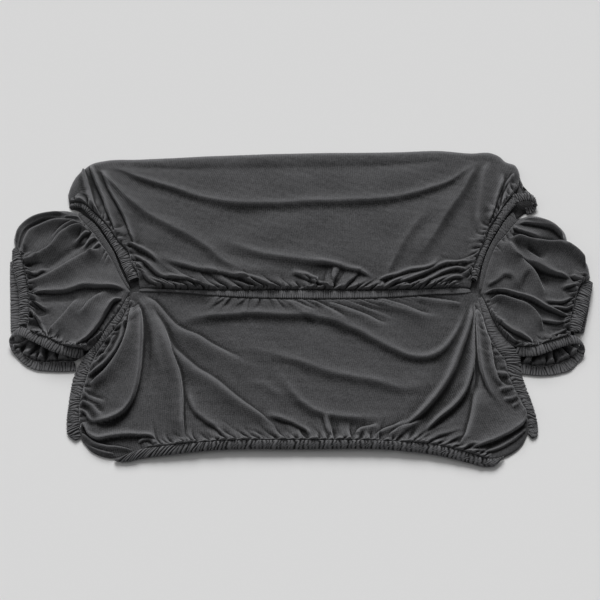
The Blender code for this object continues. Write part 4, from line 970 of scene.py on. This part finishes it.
rightArmFolds = (
    # the upper lobe
    (0.8, 0.8, 0.9, (67.5, 25), (71.5, 24.8), (75, 23.6), (78, 20.5), (79.3, 17.5)),
    (0.9, 1.6, 0.8, (66, 23.5), (70, 23.5), (73, 23), (76.5, 21.5), (78.5, 19), (79.5, 17)),
    (0.9, 1.4, 0.6, (64, 21.5), (67, 20.5), (69.5, 19.5), (72.5, 18), (74, 17)),
    # the lower lobe
    (1.9, 0.6, 2.2, (62.5, 18), (66, 17.2), (69.5, 15.8), (74, 15.2), (78, 15), (81.5, 13.5),
     (83.5, 11), (85, 7.3)),
    (1.6, 1.9, 1.1, (61.5, 17.5), (62.5, 15.5), (65, 11.5), (69.5, 9), (75.5, 5), (80, 3.5)),
    (-0.8, 1.1, 1.0, (67.5, 16), (69, 14), (71, 12), (73.5, 10)),
    (1.6, 0.8, 2.6, (61, 17.3), (63, 12.6), (65.5, 9.3), (68, 6), (69.7, 2), (70.8, -2),
     (71.3, -4.5)),
    (0.75, 1.9, 1.2, (54.5, 1), (57, 2.5), (60.5, 5), (62.5, 4.5), (63.5, 2), (63, -1)),
    (0.7, 1.8, 1.2, (63.5, -2), (64, 1.5), (66, 5.5), (68, 7.5)),
    (-2.2, 0.8, 0.5, (63.5, 19.4), (67.5, 17.9), (72, 17), (76.5, 16.7), (82, 14.8)),
    (-0.9, 1.5, 1.6, (65, 12.5), (69, 8.5), (72, 3), (73, -1.5)),
    # the paired folds from the corner, and those at the outer band
    (1.5, 1.0, 0.6, (53.3, -1.5), (57, -1), (60.5, -1.4), (64, -2.4), (67.5, -4), (71.5, -6.5),
     (75, -9), (78, -11.2)),
    (1.2, 0.6, 2.0, (54.8, -4), (58.5, -3.4), (62, -4.6), (65.5, -6.4), (67.5, -8.2), (69, -11.5),
     (69.6, -15)),
    (0.9, 0.8, 0.6, (70.5, -3), (72.5, -4.4), (76, -4.8), (80, -3.8)),
    (0.8, 0.7, 0.5, (72, -5.8), (75.5, -7.2), (79.2, -8.2)),
    (0.8, 0.9, 0.6, (68, -10), (71, -11), (74, -12.5), (77.3, -13)),
    (0.8, 0.7, 0.7, (79.5, 5), (81.5, 3), (83, 0.8)),
    (0.8, 0.8, 0.6, (76, 0.3), (79.5, 0.2), (82, -1)),
    # the front
    (1.3, 1.3, 0.7, (54.5, -6.5), (56.5, -10.5), (60.5, -14), (64.5, -17), (66, -19.3)),
    (0.9, 0.6, 0.6, (56, -11), (58, -14.6), (60, -17), (62.5, -19.2)),
    (0.9, 0.9, 0.6, (69.5, -18.5), (73, -15.8), (76.4, -15)),
)

rightArmPanel = {
    "node": "arm_right_upper_panel", "seed": 43, "columns": 201, "rows": 281, "crowd": (1.4, 0.2),
    "bottom": ("right mouth",), "top": ("right top",), "left": ("right seat", "right slit"),
    "right": ("right outer",), "tuck": {"bottom": 0.15, "left": 0.15, "right": 0.15},
    "lowest": 0.45, "highest": 4.95, "relief": 1.35, "rest": 2.4, "reach": (3, 3.6, 3, 3),
    "border": 0.7, "slack": 2, "wave": 9,
    "folds": rightArmFolds,
    "gathers": (
        gatherRow("bottom", 1.7, 1.3, 3.2, 0.2, (0.03, 0.97), ((0, -0.5), (0.5, -0.2), (1, 0)),
            0.7),
        gatherRow("bottom", 1, 1.1, 2.1, 0.15, (0.03, 0.97), ((0, -0.3), (1, 0)), 0.8),
        gatherRow("right", 2.2, 1.3, 4.2, 0.25, (0.03, 0.92), ((0, 0.1), (1, 0.4)), 0.7),
        gatherRow("right", 1.1, 1.15, 2.1, 0.15, (0.03, 0.92), ((0, 0), (1, 0.3)), 0.9),
        gatherRow("left", 1.5, 0.85, 3.4, 0.3, (0.72, 0.95), ((0, -0.8), (1, -0.6))),
        gatherRow("left", 1.3, 0.55, 2.2, 0.3, (0.03, 0.45), ((0, 0.2), (1, 0.5))),
    ),
}


# Node group with the named inputs, and outputs that are all plain numbers
def newGroup(name, inputs, outputs):
    group = bpy.data.node_groups.new(name, "ShaderNodeTree")
    for label, kind, value in inputs:
        socket = group.interface.new_socket(name=label, in_out="INPUT", socket_type=kind)
        if value is not None:
            socket.default_value = value
    for label in outputs:
        group.interface.new_socket(name=label, in_out="OUTPUT", socket_type="NodeSocketFloat")
    return group, group.nodes.new("NodeGroupInput"), group.nodes.new("NodeGroupOutput")


# One math node; a number goes on its socket and a socket is linked
def math2(tree, operation, first, second=None):
    node = tree.nodes.new("ShaderNodeMath")
    node.operation = operation
    for slot, value in enumerate((first, second)):
        if value is None:
            continue
        if isinstance(value, (int, float)):
            node.inputs[slot].default_value = value
        else:
            tree.links.new(value, node.inputs[slot])
    return node.outputs[0]


knitShape = {
    "scale": 9, "detail": 2,        # of the slow noise
    "bend": 6,                      # how far it bends the ribs, in radians
    "step": 1.2,                    # how far the rows step at every other rib, in radians
    "rib": 0.68, "row": 0.32,       # shares of the two in the check
    "strong": 1.1, "least": -0.05,  # how the check comes and goes with the noise
}


# Knit: upright ribs and rows as sine waves of the flat map, the rows stepping at every other
# rib, with a slow noise that lets the check come and go
def buildKnitGroup():
    shape = knitShape
    group, given, result = newGroup(
        "knitCheck",
        (("Flat", "NodeSocketVector", None), ("Rib Pitch", "NodeSocketFloat", 0.005),
         ("Row Pitch", "NodeSocketFloat", 0.0056), ("Wander", "NodeSocketFloat", 0.4)),
        ("Tone", "Height"))
    links = group.links
    parts = group.nodes.new("ShaderNodeSeparateXYZ")
    links.new(given.outputs["Flat"], parts.inputs[0])
    slow = group.nodes.new("ShaderNodeTexNoise")
    slow.inputs["Scale"].default_value = shape["scale"]
    slow.inputs["Detail"].default_value = shape["detail"]
    links.new(given.outputs["Flat"], slow.inputs["Vector"])
    plus, times, per, sine = (partial(math2, group, word)
                              for word in ("ADD", "MULTIPLY", "DIVIDE", "SINE"))
    sway = times(slow.outputs["Fac"], given.outputs["Wander"])
    ribs = times(per(parts.outputs["X"], given.outputs["Rib Pitch"]), 2 * math.pi)
    ribs = plus(ribs, times(sway, shape["bend"]))
    rows = times(per(parts.outputs["Y"], given.outputs["Row Pitch"]), 2 * math.pi)
    rib = sine(ribs)
    step = times(sine(times(ribs, 0.5)), shape["step"])
    row = sine(plus(rows, step))
    check = plus(times(rib, shape["rib"]), times(row, shape["row"]))
    strong = plus(times(slow.outputs["Fac"], shape["strong"]), shape["least"])
    links.new(plus(times(times(check, strong), 0.5), 0.5), result.inputs["Tone"])
    links.new(plus(times(check, 0.5), 0.5), result.inputs["Height"])
    return group


# Brushed surface: fine grain of the fibres, and broad faint patches where the nap lies over
def buildNapGroup():
    group, given, result = newGroup(
        "brushedNap",
        (("Place", "NodeSocketVector", None), ("Grain Scale", "NodeSocketFloat", 210),
         ("Patch Scale", "NodeSocketFloat", 5)),
        ("Grain", "Patches", "Crinkle"))
    links = group.links
    for label, scaleFrom, factor, detail, rough in (
            ("Grain", "Grain Scale", 1, 3, 0.7), ("Patches", "Patch Scale", 1, 3, 0.55),
            ("Crinkle", "Grain Scale", 0.16, 3, 0.6)):
        noise = group.nodes.new("ShaderNodeTexNoise")
        noise.inputs["Detail"].default_value = detail
        noise.inputs["Roughness"].default_value = rough
        links.new(given.outputs["Place"], noise.inputs["Vector"])
        links.new(math2(group, "MULTIPLY", given.outputs[scaleFrom], factor),
                  noise.inputs["Scale"])
        links.new(noise.outputs["Fac"], result.inputs[label])
    return group


knitGroup = buildKnitGroup()
napGroup = buildNapGroup()

# hollow = how much of the painted shade and highlight of the hollow mark goes into the tone
knitLook = {
    "dark": (0.010, 0.010, 0.0105), "light": (0.120, 0.120, 0.125), "tone": 0.42, "rough": 0.88,
    "sheen": 0.85, "sheenRough": 0.36, "check": 0.42, "grain": 1.15, "patches": 0.2,
    "hollow": 0.5, "bump": 0.85, "depth": 0.0014, "weave": 0.6, "crinkle": 0.8,
    "specular": 0.25, "sheenTint": (0.6, 0.6, 0.62),
}
# The shirred bands take more of the painted shade and highlight than the panels
shirredLook = dict(knitLook, check=0.14, patches=0.15, bump=0.5, tone=0.76, hollow=1.3)
tapeLook = dict(knitLook, check=0.15, patches=0.15, tone=0.46)
threadLook = dict(knitLook, check=0, grain=0.3, patches=0.1, hollow=0, tone=0.72, sheen=0.2,
                  bump=0.2)


# Tone = the cloth's own, plus the shares of check, grain and patches about their middles, less
# the share of the hollow mark, which is painted shade in hollows and grooves and painted highlight
# on crests and ribs; it mixes the dark yarn with the light one.  The check and the crinkle
# together raise the bump.
def clothMaterial(name, look):
    material = bpy.data.materials.new(name)
    material.use_nodes = True
    tree = material.node_tree
    shader = tree.nodes["Principled BSDF"]
    place = tree.nodes.new("ShaderNodeTexCoord")
    check = tree.nodes.new("ShaderNodeGroup")
    check.node_tree = knitGroup
    check.inputs["Rib Pitch"].default_value = cloth["ribPitch"]
    check.inputs["Row Pitch"].default_value = cloth["rowPitch"]
    tree.links.new(place.outputs["UV"], check.inputs["Flat"])
    napAndPaintedLight = tree.nodes.new("ShaderNodeGroup")
    napAndPaintedLight.node_tree = napGroup
    tree.links.new(place.outputs["Object"], napAndPaintedLight.inputs["Place"])
    # The hollow mark read here paints shade into hollows and a highlight onto crests
    paintedShadeAndHighlight = tree.nodes.new("ShaderNodeAttribute")
    paintedShadeAndHighlight.attribute_name = "hollow"
    tone = look["tone"]
    for output, middle, share in ((check.outputs["Tone"], 0.5, look["check"]),
                                  (napAndPaintedLight.outputs["Grain"], 0.5, look["grain"]),
                                  (napAndPaintedLight.outputs["Patches"], 0.5, look["patches"]),
                                  (paintedShadeAndHighlight.outputs["Fac"], 0, -look["hollow"])):
        part = math2(tree, "MULTIPLY", math2(tree, "SUBTRACT", output, middle), share)
        tone = math2(tree, "ADD", part, tone)
    colour = tree.nodes.new("ShaderNodeMix")
    colour.data_type = "RGBA"
    colour.inputs["A"].default_value = (*look["dark"], 1)
    colour.inputs["B"].default_value = (*look["light"], 1)
    tree.links.new(tone, colour.inputs["Factor"])
    tree.links.new(colour.outputs["Result"], shader.inputs["Base Color"])
    height = math2(tree, "ADD", math2(tree, "MULTIPLY", check.outputs["Height"], look["weave"]),
                   math2(tree, "MULTIPLY", napAndPaintedLight.outputs["Crinkle"], look["crinkle"]))
    bump = tree.nodes.new("ShaderNodeBump")
    bump.inputs["Strength"].default_value = look["bump"]
    bump.inputs["Distance"].default_value = look["depth"]
    tree.links.new(height, bump.inputs["Height"])
    tree.links.new(bump.outputs["Normal"], shader.inputs["Normal"])
    for label, key in (("Roughness", "rough"), ("Specular IOR Level", "specular"),
                       ("Sheen Weight", "sheen"), ("Sheen Roughness", "sheenRough")):
        shader.inputs[label].default_value = look[key]
    shader.inputs["Sheen Tint"].default_value = (*look["sheenTint"], 1)
    return material


knit = clothMaterial("charcoalKnit", knitLook)
shirred = clothMaterial("shirredKnit", shirredLook)
tape = clothMaterial("hemTapeKnit", tapeLook)
thread = clothMaterial("sewingThread", threadLook)
print("materials ready")


# Joined stitches on a band: each is a short spindle of four sides that lies on the band's face
# along a row a given share of the way across
def makeStitches(name, rows, look):
    points = []
    faces = []
    each = 16       # corners of a stitch: four rings of four
    size = np.array((look["tip"], 1, 1, look["tip"])) * look["thick"] / 2
    ring = np.array(((1, 0), (0, 1), (-1, 0), (0, -1)), float)
    for band, acrossShare, first, last in rows:
        line = bandLines[band]
        corners = np.arange(len(line["middle"]))
        count = int((last - first) * line["long"] / look["pitch"])
        starts = first + (last - first) * (np.arange(count) + look["inset"]) / count
        length = look["pitch"] * look["share"] / line["long"]
        place = starts[:, None] + length * np.linspace(0, 1, 4)[None]
        index = place * corners[-1]
        read = {key: np.stack([np.interp(index, corners, line[key][:, k]) for k in range(3)],
                              axis=-1) for key in ("middle", "across", "up")}
        for key in ("wide", "half"):
            read[key] = np.interp(index, corners, line[key])
        face = (1 - abs(acrossShare)**look["faceAcross"])**(look["faceUp"] / 2) * look["sunk"]
        lift = read["half"] * (face + line["crown"] * (1 - acrossShare**2))
        centre = (read["middle"] + read["across"] * (read["wide"] * acrossShare / 2)[..., None]
                  + read["up"] * (lift + look["lift"])[..., None])
        corner = (centre[:, :, None]
                  + read["across"][:, :, None] * (ring[:, 0] * size[:, None])[None, ..., None]
                  + read["up"][:, :, None] * (ring[:, 1] * size[:, None])[None, ..., None])
        offset = sum(len(p) for p in points)
        points.append(corner.reshape(-1, 3))
        base = (np.arange(count) * each)[:, None, None] + offset
        step = (np.arange(3) * 4)[None, :, None]
        side = np.arange(4)[None, None]
        quads = np.stack(np.broadcast_arrays(
            base + step + side, base + step + (side + 1) % 4,
            base + step + 4 + (side + 1) % 4, base + step + 4 + side), axis=-1).reshape(-1, 4)
        ends = np.concatenate([base[:, 0] + np.arange(4)[::-1],
                               base[:, 0] + each - 4 + np.arange(4)])
        faces += quads.tolist() + ends.tolist()
    mesh = bpy.data.meshes.new(name)
    mesh.from_pydata((np.concatenate(points) * cm).tolist(), [], faces)
    mesh.validate()
    mesh.update()
    finishPiece(bpy.data.objects.new(name, mesh), [], thread)
    print(name, "sewn,", len(faces), "faces")


# What differs between the two hands
def paired(hand, left, right):
    return left if hand == "left" else right


# Panels that show
for name, panel in (("seatPanel", seatPanel), ("backPanel", backPanel),
                    ("leftArmPanel", leftArmPanel), ("rightArmPanel", rightArmPanel)):
    sheetPiece(name, *panelGrid(panel), panel["node"], panel.get("napAndPaintedLight", 0))

# Layers that lie below them
lowerLook = {"seed": 5, "columns": 61, "rows": 41, "crowd": 0, "rest": 0.17, "uneven": 0.05,
             "wave": 14, "highest": 0.3, "gathers": ()}
insideLook = {"seed": 6, "columns": 101, "rows": 101, "crowd": 1.5, "rest": 0.17, "uneven": 0.06,
              "wave": 14, "highest": 2.5,
              "gathers": (gatherRow("bottom", 2.4, 2.3, 7, 0.7, (0.02, 0.98), ((0, 0), (1, 0))),
                          gatherRow("bottom", 1.1, 0.6, 1.8, 0.4, (0.02, 0.98), ((0, 0), (1, 0))))}

# The rear panel reaches on below the slits, as far as the arms' lower layers
rearTop = besideLine(seamLine("back top"), -0.1)
rearFront = np.array(((-50.6, -3.2, 0), (53, -3.2, 0)), float)
rearSides = {
    "bottom": readLine(rearFront, np.linspace(0, 1, 60)), "top": rearTop,
    "left": joinLines(rearFront[:1], besideLine(cutLine(edgeLine("left slit"), 0.02, 0.78), 0.7),
                      edgeLine("back left")[-20:], rearTop[:1]),
    "right": joinLines(rearFront[1:], besideLine(cutLine(edgeLine("right slit"), 0.02, 0.78),
                                                 -0.7),
                       np.array(((69.2, 28.9, 0), (72.2, 29.6, 0), (72.6, 32.6, 0),
                                 (70.6, 33.8, 0))), rearTop[-1:]),
}
makeLowerPanel("rearPanel", "back_rear_panel", rearSides, lowerLook)


# Painted shade in a deep hollow: the cloth is darkened, the mark growing from the rim of a round
# spot to its middle
def paintShadeSpot(mesh, centre, radius, depth):
    points = np.empty(len(mesh.vertices) * 3, np.float32)
    values = np.empty(len(mesh.vertices), np.float32)
    layer = mesh.attributes["hollow"].data
    mesh.vertices.foreach_get("co", points)
    layer.foreach_get("value", values)
    distance = np.linalg.norm(points.reshape(-1, 3)[:, :2] / cm - centre, axis=1)
    layer.foreach_set("value", values + depth * stepUp((radius - distance) / radius * 2))


# Painted shade inside the loose loop of the right band, which lies in the loop's shadow
paintShadeSpot(pieces["rearPanel"].data, centre=(70.5, 31), radius=4.5, depth=1)

# Corner of an arm's lower layer that lies inside the turn of its mouth band
mouthCorners = {
    "left": ((-81.2, -20.4, 0), (-82.8, -17.6, 0), (-82.6, -14.6, 0)),
    "right": ((78.7, -21, 0), (79.9, -18.6, 0), (79.8, -15.6, 0)),
}


# Four sides of an arm's lower layer: mouth, free rim, outer side, and seat side with the slit
def armLowerSides(hand, way):
    front = seamLine(hand + " under front")
    near, turn, far = np.array(mouthCorners[hand], float)[:, None]
    front = joinLines(turn, near, front) if way > 0 else joinLines(front, near, turn)
    top = cutLine(besideLine(seamLine(hand + " top"), -0.1),
                  *paired(hand, (0.06, 0.9), (0.1, 0.94)))
    outer = joinLines(far, seamLine(hand + " under outer"))
    seatSide = besideLine(cutLine(seamLine(hand + " seat"), 0.05, 0.94), way * 0.1)
    slit = besideLine(cutLine(edgeLine(hand + " slit"), 0.02, 0.93), way * 0.8)
    onLeft, onRight = ([outer], [seatSide, slit])[::way]
    return {"bottom": front, "top": top, "left": joinLines(front[:1], *onLeft, top[:1]),
            "right": joinLines(front[-1:], *onRight, top[-1:])}


for hand, way in (("left", 1), ("right", -1)):
    makeLowerPanel(hand + "ArmLowerPanel", "arm_" + hand + "_lower_panel",
                   armLowerSides(hand, way), dict(insideLook, seed=insideLook["seed"] + way))

# Bands of the back and the seat
gap = 0.075         # between a seam and its band
seamLeft = cutLine(seamLine("back left"), 0.07, 0.9)
seamRight = cutLine(seamLine("back right"), 0.07, 0.86)
loop = np.array(looseLoop, float)
openBand = {"ends": "hollow", "pitch": 0.85, "broken": True, "power": 0.8,
            "body": ((0, 1.9), (0.1, 1.3), (0.2, 1), (1, 1))}
makeBand("backBandLeft", "back_band_left", besideLine(seamLeft, gap), edgeLine("back left"),
         seed=61, depth=0.8, slant=((0, 0.1), (1, 0.3)), **openBand)
makeBand("backBandRight", "back_band_right",
         joinLines(besideLine(seamRight, -gap), smoothLine(loop[:, :3])),
         joinLines(edgeLine("back right"), smoothLine(loop[:, 3:])),
         seed=62, depth=0.85, thickness=1, slant=((0, -0.1), (1, -0.3)), **openBand)
lift = np.array((0, 0, 0.45))
makeBand("seatSeamBand", "seat_seam_band",
         besideLine(cutLine(seamLine("back bottom"), 0.005, 0.995), -gap) + lift,
         cutLine(seamLine("seat top"), 0.01, 0.985) + lift * 0.5,
         seed=63, pitch=0.5, depth=0.45, thickness=0.4, sides=16, step=0.11, ease=6,
         body=((0, 0.3), (0.15, 1), (0.85, 1), (1, 0.3)),
         ribbed=((0, 0.1), (0.12, 0.3), (0.3, 1), (0.7, 1), (0.88, 0.3), (1, 0.1)))
makeBand("seatFrontBand", "seat_front_band",
         cutLine(seamLine("seat front"), 0.1, 0.925) + lift, edgeLine("seat front") + lift * 0.3,
         seed=64, thickness=1.1, depth=1, power=0.55, shade=1.1, pitch=1,
         slant=((0, 1), (0.1, 0.8), (0.2, 0.4), (0.3, 0.1), (0.9, 0), (1, -0.3)))
sideBand = {"pitch": 0.85, "broken": True, "power": 0.9, "depth": 0.85, "scallop": 0.2}
for hand, way in (("left", 1), ("right", -1)):
    seam = cutLine(seamLine("seat " + hand), paired(hand, 0.03, 0), 0.97)
    besideArm = besideLine(cutLine(seamLine(hand + " seat"), 0.06, 0.92), -way * gap)[::-1]
    makeBand("seatBand" + hand.capitalize(), "seat_band_" + hand,
             besideLine(seam, way * gap)[::-1], joinLines(besideArm, edgeLine("seat " + hand)),
             seed=70 + way, sway=0.7, slant=((0, 0.2 * way), (0.5, 0.3 * way), (1, 0)),
             ribbed=paired(hand, ((0, 0.8), (1, 1)), ((0, 0.4), (0.35, 0.5), (0.5, 1), (1, 1))),
             **sideBand)

# Bands of the arms
onUnder = np.array((0, 0, 0.08))
for hand, way in (("left", 1), ("right", -1)):
    arm = hand + "Arm"
    node = "arm_" + hand + "_"
    seam = cutLine(seamLine(hand + " slit"), 0.04, paired(hand, 0.985, 0.94))
    makeBand(arm + "SlitTape", node + "slit_tape", besideLine(seam, -way * gap),
             edgeLine(hand + " slit"), slot="hem_tape", seed=80 + way, thickness=0.34, sides=16,
             depth=0.5, pitch=0.85, power=0.7,
             ribbed=paired(hand, ((0, 0), (0.55, 0.1), (0.7, 1), (1, 1)),
                           ((0, 0.3), (0.45, 0.3), (0.6, 1), (1, 1))))
    seam = cutLine(seamLine(hand + " outer"), 0.03, 0.93)
    makeBand(arm + "OuterBand", node + "outer_band", besideLine(seam, way * gap),
             edgeLine(hand + " outer"), seed=84 + way, **dict(sideBand, pitch=0.9))
    makeBand(arm + "UnderBand", node + "under_band",
             besideLine(seamLine(hand + " under outer") + onUnder, way * gap),
             edgeLine(hand + " under outer"), seed=87 + way, thickness=0.55)
    mouth = cutLine(seamLine(hand + " mouth"), *paired(hand, (0.03, 0.93), (0.07, 0.97)))
    upper = besideLine(mouth, -gap)
    lower = besideLine(seamLine(hand + " under front"), -gap) + onUnder
    upper, lower = paired(hand, (upper[::-1], lower), (upper, lower[::-1]))
    makeBand(arm + "MouthBand", node + "mouth_band",
             joinLines(upper, np.array(turns[hand + " mouth"], float), lower),
             edgeLine(hand + " mouth"), seed=90 + way, thickness=0.72, pitch=0.75)

# Stitching: a row's place across its band and its span along it
stitchLook = {
    "pitch": 0.62, "share": 0.62,           # from stitch to stitch, and how much of that is thread
    "thick": 0.13, "tip": 0.25,             # thickness, and that of the tips as a share
    "lift": 0.02, "sunk": 0.93,             # above the band's face, and how much of that counts
    "inset": 0.15,                          # gap before the first stitch, in pitches
    "faceAcross": 2.67, "faceUp": 0.8,      # curve of the band's face, as of its squared section
}
bandRows = [(name, -0.8, 0.02, 0.98) for name in bandLines if "Tape" not in name]
bandRows += [("seatSeamBand", 0.8, 0.1, 0.9)]
tapeRows = [("leftArmSlitTape", 0.5, 0.03, 0.97), ("leftArmSlitTape", -0.55, 0.03, 0.97),
            ("rightArmSlitTape", 0.5, 0.03, 0.55)]
makeStitches("bandStitches", bandRows, stitchLook)
makeStitches("tapeStitches", tapeRows, dict(stitchLook, pitch=0.5))

# Flat sizes in metres, as cut, before the elastic draws them in
sheets = (
    ("seatPanel", (1.38, 0.62), "laid", "floor", ["seatFrontBand", "seatBandLeft",
                                                "seatBandRight", "seatSeamBand"]),
    ("backPanel", (1.46, 0.64), "laid", "rearPanel", ["backBandLeft", "backBandRight"]),
    ("leftArmPanel", (0.36, 0.54), "laid", "leftArmLowerPanel",
     ["leftArmOuterBand", "leftArmSlitTape", "leftArmMouthBand"]),
    ("rightArmPanel", (0.35, 0.54), "laid", "rightArmLowerPanel",
     ["rightArmOuterBand", "rightArmSlitTape", "rightArmMouthBand"]),
    ("rearPanel", (1.32, 0.56), "laid", "floor", []),
    ("leftArmLowerPanel", (0.32, 0.50), "laid", "floor", ["leftArmUnderBand"]),
    ("rightArmLowerPanel", (0.31, 0.50), "laid", "floor", ["rightArmUnderBand"]),
)
for name, flat, held, under, sewn in sheets:
    piece = pieces[name]
    area = sum(face.area for face in piece.data.polygons)
    print("sheet", name, "surface", round(area, 4), "of", round(flat[0] * flat[1], 4))

# Floor, light and camera
floorLook = {"size": 14, "level": -0.0004, "colour": (0.770, 0.770, 0.770)}
half = floorLook["size"] / 2
floorMesh = bpy.data.meshes.new("floor")
floorMesh.from_pydata([(-half, -half, floorLook["level"]), (half, -half, floorLook["level"]),
                       (half, half, floorLook["level"]), (-half, half, floorLook["level"])],
                      [], [(0, 1, 2, 3)])
floor = bpy.data.objects.new("floor", floorMesh)
bpy.context.scene.collection.objects.link(floor)
floorPaint = bpy.data.materials.new("paleFloor")
floorPaint.use_nodes = True
paint = floorPaint.node_tree.nodes["Principled BSDF"]
paint.inputs["Base Color"].default_value = (*floorLook["colour"], 1)
paint.inputs["Roughness"].default_value = 1
paint.inputs["Specular IOR Level"].default_value = 0
floorMesh.materials.append(floorPaint)

# Strength, spread, height above the floor, and turn from the back towards the left, in degrees
suns = {"windowLight": (3.4, 32, 35, 1), "leftFill": (0.5, 80, 50, 80)}
skyStrength = 0.135
for name, (strength, spread, *angles) in suns.items():
    sun = bpy.data.lights.new(name, "SUN")
    sun.energy = strength
    sun.angle = math.radians(spread)
    sunObject = bpy.data.objects.new(name, sun)
    height, turn = (math.radians(angle) for angle in angles)
    toSun = Vector((-math.sin(turn) * math.cos(height), math.cos(turn) * math.cos(height),
                    math.sin(height)))
    sunObject.rotation_euler = toSun.to_track_quat("Z", "Y").to_euler()
    sunObject.location = toSun * 4
    bpy.context.scene.collection.objects.link(sunObject)

world = bpy.data.worlds.new("studio")
bpy.context.scene.world = world
world.use_nodes = True
sky = world.node_tree.nodes["Background"]
sky.inputs["Color"].default_value = (1, 1, 1, 1)
sky.inputs["Strength"].default_value = skyStrength

# Looks down at 58 degrees
view = {"lens": 70, "sensor": 36, "place": (0, -1.839, 2.9045), "tilt": 32}
camera = bpy.data.cameras.new("camera")
camera.lens = view["lens"]
camera.sensor_width = view["sensor"]
cameraObject = bpy.data.objects.new("camera", camera)
cameraObject.location = view["place"]
cameraObject.rotation_euler = (math.radians(view["tilt"]), 0, 0)
bpy.context.scene.collection.objects.link(cameraObject)
bpy.context.scene.camera = cameraObject
bpy.context.scene.view_settings.view_transform = "Standard"
